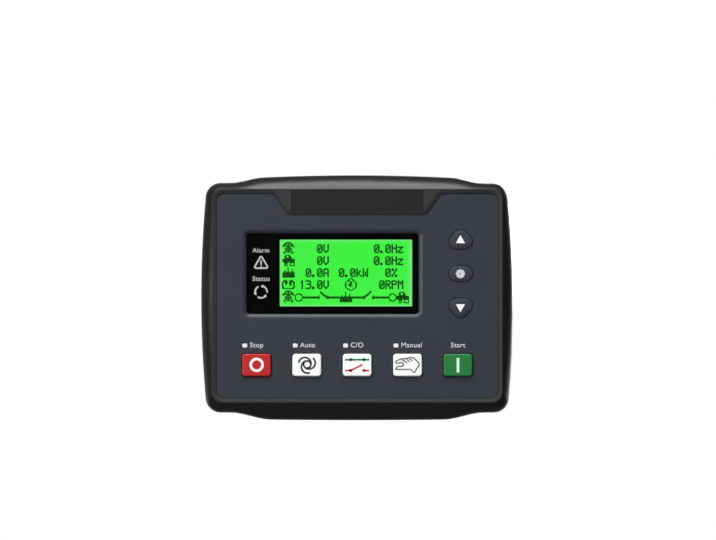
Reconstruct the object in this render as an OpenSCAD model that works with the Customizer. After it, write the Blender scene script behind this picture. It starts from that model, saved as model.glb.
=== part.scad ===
// Genset controller: a panel-mounted control unit with a lit display, eight push keys,
// indicator lamps and plug-in screw terminals.
// Millimetres. X runs to the right and Z up as seen from the front, and Y runs into the cabinet.
// The origin is the centre of the unit on the face of the cabinet panel that it is clamped to.

/* [Bezel] */
// Widest size of the front, at mid height
overall_w = 144; // [140:1:156]
// Tallest size of the front, at its middle
overall_h = 113; // [110:1:124]
// Distance from the cabinet panel to the crest of the rim
bezel_d = 12; // [11.5:0.5:16]
// How far the two sides bow out between their corners
side_bow = 2; // [0.5:0.25:3]
// Step down from the middle of the top and bottom edges to the shoulders
shoulder_drop = 3.5; // [2:0.25:4.5]
// Half width of the raised arch in the top edge
arch_top = 44; // [38:1:50]
// Half width of the raised arch in the bottom edge
arch_bottom = 40; // [36:1:50]
// Half width at which the shoulder starts
shoulder_half = 58.5; // [54:0.5:61]
// Rise of the top arch at its middle
crown_top = 1; // [0:0.1:1.5]
// Rise of the bottom arch at its middle
crown_bottom = 0.25; // [0:0.05:1.5]
// Corner radius of the outline
corner_r = 7; // [4:0.5:9]
// Width of the rounded side of the rim
rim_side = 5.1; // [3.5:0.1:6]
// Width of the rounded top of the rim, at the middle
rim_top = 6.4; // [5.5:0.1:8]
// Width of the rounded bottom of the rim, at the middle
rim_bottom = 8.3; // [6:0.1:9]
// Corner radius of the crest of the rim
crest_r = 4.8; // [3:0.1:6]
// Width of the land between the crest and the face panel
land_w = 1.9; // [1.2:0.1:2.2]
// Fall of the land from the crest to the face panel
land_drop = 0.5; // [0.2:0.1:0.7]
// Wall of the skirt
skirt_wall = 2.2; // [1.6:0.1:2.6]

/* [Face panel] */
// Height of the rim over the face panel
rim_h = 0.9; // [0.4:0.1:1.2]
// Thickness of the face panel
panel_t = 1.6; // [1.4:0.1:2]
// Front wall behind the face panel
front_wall = 2.2; // [2:0.1:3]
// Corner radius of the face panel
panel_r = 3.8; // [2:0.1:6]
// Width of the brow along its lower edge
brow_w = 64; // [50:1:80]
// Reach of the brow below the top of the face panel
brow_h = 9.6; // [8:0.2:12]
// Sideways run of each slanted end of the brow
brow_slope = 6.5; // [4:0.5:10]
// Margin at each end of the bare recess in the brow
recess_end = 1.5; // [1:0.1:8]
// Margin under the bare recess in the brow
recess_low = 1.2; // [0.8:0.1:3]
// Depth of the bare recess in the brow
recess_depth = 0.3; // [0.2:0.1:0.6]

/* [Display] */
// Height of the window
lens_h = 37; // [35:0.5:40]
// Thickness of the window
lens_t = 1.3; // [1:0.1:1.6]
// Left edge of the window from the left edge of the face panel
lens_in = 14; // [12:0.1:18]
// Right edge of the window from the right edge of the face panel
lens_right = 36.8; // [35:0.1:42]
// Top edge of the window from the top edge of the face panel
lens_down = 18.6; // [17:0.1:22]
// Drop from the face panel to the window
lens_drop = 1.1; // [0.6:0.1:1.2]
// Width of the rounded edge round the window
window_round = 2.3; // [1.4:0.1:3]
// Width of the black strip left of the lit display
strip_w = 15.3; // [13.5:0.1:18]
// Height of the lit display
view_h = 30.75; // [27:0.25:32]
// Right edge of the lit display from the right edge of the window
view_in = 2.9; // [2:0.1:6]
// Top edge of the lit display from the top edge of the window
view_down = 2.8; // [2:0.1:4]
// Depth of the display module
display_d = 6.2; // [6:0.1:8]
// Width and height of the alarm and status lights
indicator_w = 7; // [5:0.1:7.4]
// Centre of the two lights from the left edge of the window
indicator_in = 6.5; // [5:0.1:7]
// Centre of the alarm light below the top of the window
alarm_down = 13.9; // [11:0.1:15]
// Centre of the status light below the top of the window
status_down = 27.2; // [24:0.1:30]

/* [Keys] */
// Width of a key in the row
key_w = 13.3; // [11:0.1:15]
// Height of a key in the row
key_h = 10.3; // [8:0.1:11]
// Corner radius of a key in the row
key_r = 1.4; // [0.8:0.1:3]
// Distance between neighbouring keys in the row
key_pitch = 23.2; // [21:0.1:24]
// Centre of the row above the bottom edge of the face panel
key_up = 15.3; // [15:0.1:18]
// Height of the row keys over the face panel
key_proud = 1.2; // [1.1:0.1:2]
// Rounded edge of a key
key_edge = 0.7; // [0.3:0.1:0.9]
// Travel of every key
key_travel = 1; // [0.5:0.1:1.2]
// Gap round every key
key_gap = 0.3; // [0.2:0.05:0.5]
// Width of the lip that holds a key behind the front wall
key_lip = 1; // [0.6:0.1:1.2]
// Thickness of that lip
lip_t = 1; // [0.8:0.1:1.2]
// Width of the up and down keys
nav_w = 10.8; // [9:0.1:12]
// Height of the up and down keys
nav_h = 9; // [8:0.1:10]
// Corner radius of the up and down keys
nav_r = 3.3; // [2.5:0.1:3.6]
// Width of the menu key
menu_w = 11; // [9:0.1:12]
// Height of the menu key
menu_h = 7.4; // [7:0.1:9]
// Distance between neighbouring keys in the column
nav_pitch = 15.8; // [14.5:0.1:16.5]
// Centre of the column from the right edge of the face panel
nav_in = 17.3; // [16:0.1:20]
// Centre of the menu key below the top of the face panel
menu_down = 37.1; // [36:0.1:40]
// Height of the column keys over the face panel
nav_proud = 0.5; // [0.4:0.1:1.2]

/* [Lamps] */
// Width of a mode lamp
lamp_w = 2.2; // [1.5:0.1:3]
// Height of a mode lamp
lamp_h = 1.8; // [1.5:0.1:2.5]
// Left edge of a mode lamp from the left edge of its key
lamp_in = 0.2; // [0:0.1:1]
// Centre of a mode lamp above the centre of its key
lamp_up = 9; // [8.6:0.1:10]

/* [Rear case] */
// Overlap of the bezel past the body, on each side
overlap_side = 8; // [7.5:0.25:9]
// Overlap of the bezel past the body, at the top and the bottom
overlap_end = 9.5; // [8.5:0.25:11]
// Depth of the body behind the cabinet panel
body_d = 28; // [27:0.5:36]
// Corner radius of the body
body_r = 4; // [3:0.5:5]
// Rounded edge of the body's rear face
body_edge = 1.2; // [0.5:0.1:2]
// Wall of the rear case
case_wall = 2.4; // [2:0.1:3]
// Thickness of the flange that closes the bezel
flange_t = 2.4; // [2:0.1:2.8]
// Thickness of the panel gasket
gasket_t = 1.6; // [1.2:0.1:2]
// How far the gasket stands out behind the skirt
gasket_proud = 0.8; // [0.4:0.1:1]
// Number of vent slots in a row
vent_count = 13; // [5:1:16]
// Length of a vent slot
vent_l = 14; // [8:1:18]
// Width of a vent slot
vent_w = 2; // [1.5:0.1:3]
// Distance between neighbouring vent slots
vent_pitch = 5; // [4:0.25:6]

/* [Boards] */
// Thickness of both circuit boards
board_t = 1.6; // [1:0.1:2]
// Height of a key switch over its board
switch_h = 3.4; // [3:0.1:3.6]
// Width of a key switch
switch_w = 6; // [5:0.5:8]
// Radius of a switch plunger
plunger_r = 1.7; // [1.2:0.1:2]

/* [Terminals] */
// Pitch of the signal terminals
signal_pitch = 5.08; // [5:0.01:5.2]
// Pitch of the voltage terminals
voltage_pitch = 7.62; // [7.5:0.01:7.8]
// Height of a terminal socket over its board
socket_h = 12; // [11:0.5:13]
// Depth of a terminal socket across its row
socket_d = 8.6; // [8:0.1:9.5]
// Centre of each terminal row from the upper or lower side of the body
row_in = 14; // [13:0.5:16]
// Gap between neighbouring sockets in a row
socket_gap = 3; // [2:0.5:3.5]
// Length of a plug outside its socket
plug_l = 10; // [9:0.5:13]

/* [Clips] */
// Largest thickness of cabinet panel that the clips clamp
grip = 6; // [4.5:0.5:8]
// Height of a clip
clip_h = 14; // [12:0.5:20]
// Reach of a clip from the side of the body
clip_w = 7; // [6.5:0.1:7.2]
// Radius of a clamp screw
clamp_r = 2; // [1.5:0.1:2.5]

/* [Hidden] */

// Fits: a snug seat, and a small gap between flat faces
fit = 0.3;
touch = 0.1;
eps = 0.01;

// Steps along the curves of the outline, and in a rounded corner
top_steps = 36;
side_steps = 12;
turn_steps = 8;
corner_steps = 6;
rim_steps = 7;
rim_start_angle = 25;
dome_steps = 4;
dome_run = 2.4;
window_steps = 4;

// Depths along Y, from the crest of the rim back to the display board
crest_y = -bezel_d;
panel_front = crest_y + rim_h;
pocket_floor = panel_front + panel_t;
wall_back = pocket_floor + front_wall;
lens_front = panel_front + lens_drop;
lens_back = lens_front + lens_t;
mask_t = 0.2;
mask_front = lens_back + touch;
ledge = mask_front + mask_t;
lip_front = wall_back + touch;
lip_back = lip_front + lip_t;
board_front = wall_back + display_d;
board_back = board_front + board_t;

// Depths of the skirt, the flange and the gasket
skirt_end = -gasket_proud;
flange_back = -gasket_t;
flange_front = flange_back - flange_t;
skirt_start = flange_front - 0.5;

// Half sizes of the crest, and the edges of the face panel's pocket
crest_half = overall_w / 2 - rim_side;
crest_top = overall_h / 2 - rim_top;
crest_bottom = rim_bottom - overall_h / 2;
crest_flat = 0.4;
land_run = land_w - crest_flat;
land_over = 0.2;
pocket_half = crest_half - land_w;
pocket_top = crest_top - land_w;
pocket_bottom = crest_bottom + land_w;

// Window, lit display and lights
lens_left = lens_in - pocket_half;
lens_w = 2 * pocket_half - lens_in - lens_right;
view_w = lens_w - strip_w - view_in;
lens_top = pocket_top - lens_down;
lens_mid = [lens_left + lens_w / 2, lens_top - lens_h / 2];
view_mid = [lens_left + lens_w - view_in - view_w / 2, lens_top - view_down - view_h / 2];
alarm_mid = [lens_left + indicator_in, lens_top - alarm_down];
status_mid = [lens_left + indicator_in, lens_top - status_down];

// Keys and lamps
key_z = pocket_bottom + key_up;
lamp_z = key_z + lamp_up;
nav_x = pocket_half - nav_in;
menu_z = pocket_top - menu_down;
ROW_MIDS = [for (i = [-2:2]) [i * key_pitch, key_z]];
UP_MID = [nav_x, menu_z + nav_pitch];
MENU_MID = [nav_x, menu_z];
DOWN_MID = [nav_x, menu_z - nav_pitch];
LAMP_MIDS = [for (i = [0:3]) [ROW_MIDS[i].x - key_w / 2 + lamp_in + lamp_w / 2, lamp_z]];
SWITCH_MIDS = concat(ROW_MIDS, [UP_MID, MENU_MID, DOWN_MID]);

// Switches and light pipes
switch_top = board_front - switch_h;
plunger_slack = 0.3;
plunger_top = switch_top - key_travel - plunger_slack;
plunger_l = 2.9;
plunger_gap = 0.1;
switch_floor = 0.5;
led_w = 2;
led_d = 1.25;
led_h = 0.8;
pipe_end = board_front - led_h - fit;
pipe_lip = 0.75;
guide_stem = 3;
pipe_proud = 0.15;

// Rear case, posts and boards
body_w = overall_w - 2 * overlap_side;
body_h = overall_h - 2 * overlap_end;
body_in_w = body_w - 2 * case_wall;
body_in_h = body_h - 2 * case_wall;
wall_inner = body_d - case_wall;
row_z = body_h / 2 - row_in;
screw_r = 1.5;
screw_bite = 6;
case_head_r = 2.7;
head_gap = 0.4;
thread_gap = 0.05;
hole_gap = 0.2;
post_r = 4.2;
post_in = 3.4;
post_start = 2;
boss_r = post_in - fit;
POSTS = [for (x = [-1, 1], z = [-1, 1]) [x * (body_in_w / 2 - post_in), z * (body_in_h / 2 - post_in)]];
board_gap = 0.5;
board_w = 2 * (body_in_w / 2 - post_in - post_r - board_gap);
board_h = body_in_h - 6 * board_gap;
main_h = board_h - 4 * board_gap;
board_screw_r = 1.25;
board_head_r = 2.3;
board_head_h = 1.8;
board_screw_l = 4.5;
main_screw_l = 6;
board_boss_r = 2.5;
board_boss_in = 3;
board_boss_x = 1.5 * key_pitch;
BOARD_BOSSES = [for (x = [-1, 1], z = [-1, 1]) [x * board_boss_x, z * (board_h / 2 - board_boss_in)]];
socket_proud = 0.4;
main_back = body_d + socket_proud - socket_h;
main_front = main_back - board_t;
stand_r = 3;
stand_in = 4;
stand_z = 14;
STANDS = [for (x = [-1, 1], z = [-1, 1]) [x * (board_w / 2 - stand_in), z * stand_z]];
head_h = 2;
head_sunk = 0.6;
counterbore = head_h + head_sunk;

// Terminals: name, ways, pitch, middle along X and the row's side, up or down
shroud = 1;
pin_w = 1;
pin_gap = 0.25;
pin_short = 2;
function socket_w(ways, pitch) = ways * pitch + 2 * shroud;
upper_total = socket_w(10, signal_pitch) + socket_w(8, signal_pitch) + socket_gap;
lower_total = 2 * socket_w(4, voltage_pitch) + socket_w(6, signal_pitch) + 2 * socket_gap;
OUTPUT = [10, signal_pitch, -upper_total / 2 + socket_w(10, signal_pitch) / 2, 1];
INPUT = [8, signal_pitch, upper_total / 2 - socket_w(8, signal_pitch) / 2, 1];
GENERATOR = [4, voltage_pitch, -lower_total / 2 + socket_w(4, voltage_pitch) / 2, -1];
CURRENT = [6, signal_pitch, 0, -1];
MAINS = [4, voltage_pitch, lower_total / 2 - socket_w(4, voltage_pitch) / 2, -1];
CONNECTORS = [OUTPUT, INPUT, GENERATOR, CURRENT, MAINS];
socket_mouth = main_back + socket_h;
socket_floor = 2.2;
nose_gap = 0.2;
nose_l = 8;
plug_back = socket_mouth + touch + plug_l;
plug_inner = 4.6;
plug_outer = 6.4;
entry_w = 3.4;
entry_h = 3.6;
entry_l = 6;
entry_in = 1.4;
driver_r = 1.8;
driver_y = 4.6;
driver_floor = 1.6;
terminal_screw_r = 1.6;
terminal_screw_h = 2.2;

// Clips
slot_front = grip + 8;
slot_l = 6;
slot_h = 10;
hook_t = 2;
hook_run = 3.4;
clip_nose = 3;
clip_heel = 4;
clip_back = slot_front + slot_l + clip_heel;
clamp_x = body_w / 2 + touch + clip_w / 2;
clamp_gap = 0.5;
clamp_tip = grip + clamp_gap;
clamp_head = 2.6;
clamp_head_r = 1.7 * clamp_r;
clamp_out = 6;
clamp_back = clip_back + clamp_out;
clamp_slot_w = 1;
clamp_slot_d = 1.2;

$fn = 48;

// Helpers for outlines. A path is a list of [x, z, corner radius], anticlockwise from the front.
function unit(v) = v / norm(v);
function left_of(v) = [-v.y, v.x];
function flat(p) = [p.x, p.y];
function next_to(path, i) = path[(i + len(path)) % len(path)];
function clamp01(t) = max(0, min(1, t));
function smooth(t) = t * t * (3 - 2 * t);
function short_turn(a) = a > 180 ? a - 360 : a < -180 ? a + 360 : a;

function corner(path, i, steps) =
    let (
        p = flat(path[i]),
        r = path[i].z,
        a = unit(flat(next_to(path, i - 1)) - p),
        b = unit(flat(next_to(path, i + 1)) - p),
        half = acos(max(-1, min(1, a * b))) / 2
    )
    r <= 0 || half > 89.9 ? [p] :
    let (
        centre = p + unit(a + b) * r / sin(half),
        start = p + a * r / tan(half) - centre,
        end = p + b * r / tan(half) - centre,
        from = atan2(start.y, start.x),
        sweep = short_turn(atan2(end.y, end.x) - from)
    )
    [for (k = [0:steps]) centre + r * [cos(from + sweep * k / steps), sin(from + sweep * k / steps)]];

function rounded(path, steps = corner_steps) = [for (i = [0:len(path) - 1]) each corner(path, i, steps)];

function inset(path, d) =
    [for (i = [0:len(path) - 1])
        let (
            p = flat(path[i]),
            before = unit(p - flat(next_to(path, i - 1))),
            after = unit(flat(next_to(path, i + 1)) - p),
            n0 = left_of(before),
            n1 = left_of(after),
            moved = p + d * (n0 + n1) / (1 + n0 * n1)
        )
        [moved.x, moved.y, max(0, path[i].z + (cross(before, after) > 0 ? -d : d))]];

function inset_points(points, d) = [for (p = inset([for (q = points) [q.x, q.y, 0]], d)) flat(p)];

function rectangle(w, h, r, mid = [0, 0]) =
    [for (c = [[-1, -1], [1, -1], [1, 1], [-1, 1]]) [mid.x + c.x * w / 2, mid.y + c.y * h / 2, r]];

function moved_path(path, mid) = [for (p = path) [p.x + mid.x, p.y + mid.y, p.z]];
function mix(a, b, t) = [for (i = [0:len(a) - 1]) a[i] + (b[i] - a[i]) * t];
function ring(points, y) = [for (p = points) [p.x, y, p.y]];
function middle(points) = [for (p = points) 1] * points / len(points);

// A closed skin over rings of equal count, from the front ring to the back one
module loft(rings) {
    count = len(rings[0]);
    last = len(rings) - 1;
    centres = [middle(rings[0]), middle(rings[last])];
    points = concat([for (r = rings) each r], centres);
    front = len(points) - 2;
    sides = [for (k = [0:last - 1], i = [0:count - 1])
        let (j = (i + 1) % count, a = k * count, b = a + count)
        each [[a + i, a + j, b + j], [a + i, b + j, b + i]]];
    caps = [for (i = [0:count - 1])
        let (j = (i + 1) % count)
        each [[front, j, i], [front + 1, last * count + i, last * count + j]]];
    polyhedron(points, concat(sides, caps));
}

// A prism from one depth to another, over points or over a path
module slab(points, y_front, y_back) {
    translate([0, y_back, 0])
        rotate([90, 0, 0])
            linear_extrude(y_back - y_front)
                polygon(points);
}

module prism(path, y_front, y_back) {
    slab(rounded(path), y_front, y_back);
}

// A body between two outlines of equal count that may turn inward
module frustum(front, back, y_front, y_back) {
    count = len(front);
    sides = [for (i = [0:count - 1])
        let (j = (i + 1) % count)
        each [[i, j, count + j], [i, count + j, count + i]]];
    caps = [[for (i = [0:count - 1]) count - 1 - i], [for (i = [0:count - 1]) count + i]];
    polyhedron(concat(ring(front, y_front), ring(back, y_back)), concat(sides, caps));
}

// A round pin or bore along Y, at a place in the face
module rod(mid, r, y_front, y_back) {
    translate([mid.x, y_back, mid.y])
        rotate([90, 0, 0])
            cylinder(r = r, h = y_back - y_front);
}

module box(low, high) {
    translate(low)
        cube(high - low);
}

// Outlines of the bezel, from the widest line and from the crest, point for point
corner_x = overall_w / 2 - side_bow - corner_r;
corner_z = overall_h / 2 - shoulder_drop - corner_r;

function edge_z(x, arch, crown) =
    let (step = smooth(clamp01((abs(x) - arch) / (shoulder_half - arch))))
    overall_h / 2 - shoulder_drop + (shoulder_drop - crown * pow(x / arch, 2)) * (1 - step);
function side_x(z) = overall_w / 2 - side_bow * pow(z / corner_z, 2);
function arc(mid, r, from) =
    [for (k = [1:turn_steps - 1]) let (a = from + 90 * k / turn_steps) mid + r * [cos(a), sin(a)]];
function run(from, to, steps) = [for (k = [0:steps]) from + (to - from) * k / steps];

OUTLINE = concat(
    [for (z = run(-corner_z, corner_z, side_steps)) [side_x(z), z]],
    arc([corner_x, corner_z], corner_r, 0),
    [for (x = run(corner_x, -corner_x, top_steps)) [x, edge_z(x, arch_top, crown_top)]],
    arc([-corner_x, corner_z], corner_r, 90),
    [for (z = run(corner_z, -corner_z, side_steps)) [-side_x(z), z]],
    arc([-corner_x, -corner_z], corner_r, 180),
    [for (x = run(-corner_x, corner_x, top_steps)) [x, -edge_z(x, arch_bottom, crown_bottom)]],
    arc([corner_x, -corner_z], corner_r, 270)
);

crest_x = crest_half - crest_r;
crest_up = crest_top - crest_r;
crest_down = crest_bottom + crest_r;
CREST = concat(
    [for (z = run(crest_down, crest_up, side_steps)) [crest_half, z]],
    arc([crest_x, crest_up], crest_r, 0),
    [for (x = run(crest_x, -crest_x, top_steps)) [x, crest_top]],
    arc([-crest_x, crest_up], crest_r, 90),
    [for (z = run(crest_up, crest_down, side_steps)) [-crest_half, z]],
    arc([-crest_x, crest_down], crest_r, 180),
    [for (x = run(-crest_x, crest_x, top_steps)) [x, crest_bottom]],
    arc([crest_x, crest_down], crest_r, 270)
);

// The rim's section: share of the way out, and share of the way back, at a turn angle
function rim_out(a) = (sin(a) - sin(rim_start_angle)) / (1 - sin(rim_start_angle));
function rim_back(a) = (cos(rim_start_angle) - cos(a)) / cos(rim_start_angle);
RIM_ANGLES = [for (k = [0:rim_steps]) rim_start_angle + (90 - rim_start_angle) * k / rim_steps];
RIM = [for (a = RIM_ANGLES)
    [mix(CREST, OUTLINE, rim_out(a)), crest_y + (skirt_start - crest_y) * rim_back(a)]];

// The rounded edge of the window opening: its turn angles, and how far out and in it lies at each
window_turn = 2 * atan(lens_drop / window_round);
window_r = window_round / sin(window_turn);
WINDOW_TURNS = [for (k = [0:window_steps]) window_turn * k / window_steps];
function window_out(a) = window_round - window_r * sin(a);
function window_in(a) = window_r * (1 - cos(a));

// Outlines on the face
POCKET = [
    [-pocket_half, pocket_bottom, panel_r],
    [pocket_half, pocket_bottom, panel_r],
    [pocket_half, pocket_top, panel_r],
    [brow_w / 2 + brow_slope, pocket_top, 3],
    [brow_w / 2, pocket_top - brow_h, 2.5],
    [-brow_w / 2, pocket_top - brow_h, 2.5],
    [-brow_w / 2 - brow_slope, pocket_top, 3],
    [-pocket_half, pocket_top, panel_r]
];
recess_bottom = pocket_top - brow_h + recess_low;
recess_top = crest_top - recess_low / 2;
recess_mid = [0, (recess_top + recess_bottom) / 2];
RECESS = rectangle(brow_w - 2 * recess_end, recess_top - recess_bottom, 0.8, recess_mid);
LENS = rectangle(lens_w, lens_h, 1.6, lens_mid);
VIEW = rectangle(view_w, view_h, 0.4, view_mid);
KEY = rectangle(key_w, key_h, key_r);
nav_x_in = nav_w / 2 - nav_r;
nav_z_in = nav_h / 2 - nav_r;
NAV = inset([[-nav_x_in, -nav_z_in, 0], [nav_x_in, -nav_z_in, 0], [0, nav_z_in, 0]], -nav_r);
NAV_DOWN = [for (p = NAV) [-p.x, -p.y, p.z]];
MENU = rectangle(menu_w, menu_h, menu_h / 2 - 0.1);
LAMP = rectangle(lamp_w, lamp_h, 0.4);
LIGHT = rectangle(indicator_w, indicator_w, 0.6);

KEY_PATHS = concat(
    [for (m = ROW_MIDS) moved_path(KEY, m)],
    [moved_path(NAV, UP_MID), moved_path(MENU, MENU_MID), moved_path(NAV_DOWN, DOWN_MID)]
);
LAMP_PATHS = [for (m = LAMP_MIDS) moved_path(LAMP, m)];
LIGHT_PATHS = [moved_path(LIGHT, alarm_mid), moved_path(LIGHT, status_mid)];

// Bezel

module bezel_shell() {
    inner = [for (s = RIM) if (s[1] > wall_back) ring(inset_points(s[0], skirt_wall), s[1])];
    first = [for (s = RIM) if (s[1] <= wall_back) s[0]];
    difference() {
        loft(concat([for (s = RIM) ring(s[0], s[1])], [ring(OUTLINE, skirt_end)]));
        loft(concat(
            [ring(inset_points(first[len(first) - 1], skirt_wall), wall_back)],
            inner,
            [ring(inset_points(OUTLINE, skirt_wall), skirt_end + 1)]
        ));
        prism(POCKET, crest_y - 1, pocket_floor);
        frustum(
            rounded(inset(POCKET, -land_run * (1 + land_over))), rounded(POCKET),
            crest_y - land_drop * land_over, crest_y + land_drop
        );
        prism(RECESS, crest_y - 1, crest_y + recess_depth);
        prism(inset(LENS, -fit), pocket_floor - 1, ledge);
        prism(inset(VIEW, -fit), ledge - 1, wall_back + 1);
        for (p = LIGHT_PATHS)
            prism(inset(p, -touch), ledge - 1, wall_back + 1);
        for (p = KEY_PATHS)
            prism(inset(p, -key_gap), pocket_floor - 1, wall_back + 1);
        for (p = LAMP_PATHS)
            prism(inset(p, -touch), pocket_floor - 1, wall_back + 1);
    }
}

module front_case() {
    root = pocket_floor + front_wall / 2;
    color("#2b2b2c")
        difference() {
            union() {
                bezel_shell();
                for (m = POSTS)
                    rod(m, boss_r, root, post_start - touch);
                for (m = BOARD_BOSSES)
                    rod(m, board_boss_r, root, board_front);
            }
            for (m = POSTS)
                rod(m, screw_r + thread_gap, root + 0.5, post_start);
            for (m = BOARD_BOSSES)
                rod(m, board_screw_r + thread_gap, root + 0.5, board_front + 1);
        }
}

module face_panel() {
    opening = inset(LENS, -touch);
    color("#3c3f48")
        difference() {
            prism(inset(POCKET, 0.15), panel_front, pocket_floor);
            prism(opening, panel_front - 1, pocket_floor + 1);
            loft(concat(
                [ring(rounded(inset(opening, -window_round)), panel_front - 1)],
                [for (a = WINDOW_TURNS)
                    ring(rounded(inset(opening, -window_out(a))), panel_front + window_in(a))]
            ));
            for (p = KEY_PATHS)
                prism(inset(p, -key_gap), panel_front - 1, pocket_floor + 1);
            for (p = LAMP_PATHS)
                prism(inset(p, -touch), panel_front - 1, pocket_floor + 1);
        }
}

// Window, display and lights

module display_window() {
    color("#20242a", 0.4)
        prism(LENS, lens_front, lens_back);
}

module window_mask() {
    color("#08080a")
        difference() {
            prism(LENS, mask_front, ledge);
            prism(VIEW, mask_front - 1, ledge + 1);
        }
}

// A diffuser behind the window, with a stem that takes in the light of its diode
module light_guide(path, mid) {
    color("#f2f2ee")
        union() {
            prism(path, ledge, wall_back);
            prism(rectangle(guide_stem, guide_stem, 0.4, mid), wall_back - eps, pipe_end);
        }
}

module alarm_light_guide() {
    light_guide(LIGHT_PATHS[0], alarm_mid);
}

module status_light_guide() {
    light_guide(LIGHT_PATHS[1], status_mid);
}

frame_wall = 1.2;
frame_lip = 0.8;
frame_margin = 0.8;
glass_t = 2.2;
backlight_t = 2.6;
glass_side = 2.3;
glass_end = 3.6;
frame_w = view_w + 2 * (glass_side + frame_wall);
frame_h = view_h + 2 * (glass_end + frame_wall);
FRAME = rectangle(frame_w, frame_h, 1, view_mid);
frame_front = wall_back + touch;
glass_front = frame_front + frame_lip;
glass_back = glass_front + glass_t;

module display_frame() {
    color("#18181a")
        difference() {
            prism(FRAME, frame_front, board_front);
            prism(inset(VIEW, -frame_margin), frame_front - 1, glass_front + eps);
            prism(inset(FRAME, frame_wall), glass_front, board_front + 1);
        }
}

module display_glass() {
    color("#49e047")
        prism(inset(FRAME, frame_wall + touch), glass_front, glass_back);
}

module display_backlight() {
    color("#e8f5e0")
        prism(inset(FRAME, frame_wall + touch), glass_back, min(glass_back + backlight_t, board_front));
}

// Keys

module key_stem(path, mid) {
    prism(inset(path, -key_gap - key_lip), lip_front, lip_back);
    rod(mid, plunger_r + 0.6, lip_back - eps, plunger_top);
}

// A key with a flat top and a rounded edge
module flat_key(path, mid, proud) {
    top = panel_front - proud;
    edge = [for (k = [0:dome_steps]) 90 * k / dome_steps];
    loft(concat(
        [for (a = edge) ring(rounded(inset(path, key_edge * (1 - sin(a)))), top + key_edge * (1 - cos(a)))],
        [ring(rounded(path), lip_front + lip_t / 2)]
    ));
    key_stem(path, mid);
}

// A key with a low domed top
module domed_key(path, mid, proud) {
    top = panel_front - proud;
    shares = [for (k = [0:dome_steps]) k / dome_steps];
    loft(concat(
        [for (s = shares) ring(rounded(inset(path, dome_run * (1 - s))), top + proud * s * s)],
        [ring(rounded(path), lip_front + lip_t / 2)]
    ));
    key_stem(path, mid);
}

module row_key(i) {
    flat_key(KEY_PATHS[i], ROW_MIDS[i], key_proud);
}

module stop_key() {
    color("#c1272d") row_key(0);
}

module auto_key() {
    color("#f4f4f2") row_key(1);
}

module changeover_key() {
    color("#f4f4f2") row_key(2);
}

module manual_key() {
    color("#f4f4f2") row_key(3);
}

module start_key() {
    color("#2e8544") row_key(4);
}

module up_key() {
    color("#3c3f48") domed_key(KEY_PATHS[5], UP_MID, nav_proud);
}

module menu_key() {
    color("#3c3f48") domed_key(KEY_PATHS[6], MENU_MID, nav_proud);
}

module down_key() {
    color("#3c3f48") domed_key(KEY_PATHS[7], DOWN_MID, nav_proud);
}

module plunger(i) {
    color("#202020")
        rod(SWITCH_MIDS[i], plunger_r, plunger_top, plunger_top + plunger_l);
}

module key_switches() {
    color("#3a3a3c")
        for (m = SWITCH_MIDS)
            difference() {
                prism(rectangle(switch_w, switch_w, 0.5, m), switch_top, board_front);
                rod(m, plunger_r + plunger_gap, switch_top - 1, board_front - switch_floor);
            }
}

// Lamps

module lamp(i) {
    path = LAMP_PATHS[i];
    color("#f6f6f2")
        union() {
            prism(path, panel_front - pipe_proud, pipe_end);
            prism(inset(path, -pipe_lip), lip_front, lip_back);
        }
}

module indicator_leds() {
    color("#f5f0c8")
        for (m = concat(LAMP_MIDS, [alarm_mid, status_mid]))
            prism(rectangle(led_w, led_d, 0, m), board_front - led_h, board_front);
}

// Display board

module screw(mid, r, head_r, seat, tip, head) {
    rod(mid, r, min(seat, tip), max(seat, tip));
    rod(mid, head_r, min(seat, seat + head), max(seat, seat + head));
}

module display_board() {
    color("#1d5b34")
        difference() {
            prism(rectangle(board_w, board_h, 1), board_front, board_back);
            for (m = BOARD_BOSSES)
                rod(m, board_screw_r + hole_gap, board_front - 1, board_back + 1);
        }
}

module board_screws() {
    color("#b9bcc0")
        for (m = BOARD_BOSSES)
            screw(m, board_screw_r, board_head_r, board_back, board_front - board_screw_l, board_head_h);
}

chip_w = 14;
chip_t = 1.4;
chip_left = 18;
chip_in = 19.1;
CHIP_MID = [-chip_left, chip_in - board_h / 2];

module processor_chip() {
    color("#232325")
        prism(rectangle(chip_w, chip_w, 0.3, CHIP_MID), board_back, board_back + chip_t);
}

link_w = 25.4;
link_d = 5;
link_h = 8.5;
link_foot = 2.5;
link_right = 20;
link_low = 12;
link_pitch = 2.54;
link_pin = 0.8;
LINK_MID = [link_right, -link_low];

module board_link() {
    join = main_front - link_h;
    color("#1b1b1d")
        union() {
            prism(rectangle(link_w, link_d, 0.3, LINK_MID), join, main_front);
            prism(rectangle(link_w, link_d, 0.3, LINK_MID), board_back, board_back + link_foot);
            for (i = [-4.5:4.5], side = [-1, 1])
                prism(rectangle(link_pin, link_pin, 0, LINK_MID + link_pitch * [i, side / 2]),
                    board_back + link_foot / 2, join + link_foot / 2);
        }
}

// Rear case

SLOTS = [for (side = [-1, 1]) [
    [min(side * (body_w / 2 + 1), side * (body_in_w / 2 - 1)), slot_front, -slot_h / 2],
    [max(side * (body_w / 2 + 1), side * (body_in_w / 2 - 1)), slot_front + slot_l, slot_h / 2]
]];

function connector_mid(c) = [c[2], c[3] * row_z];

// The body's outside, with its rear edge rounded
module body_block(body) {
    turns = [for (k = [0:dome_steps]) 90 * k / dome_steps];
    prism(body, flange_front, body_d - body_edge);
    loft([for (a = turns)
        ring(rounded(inset(body, body_edge * (1 - cos(a)))), body_d - body_edge * (1 - sin(a)))]);
}

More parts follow.
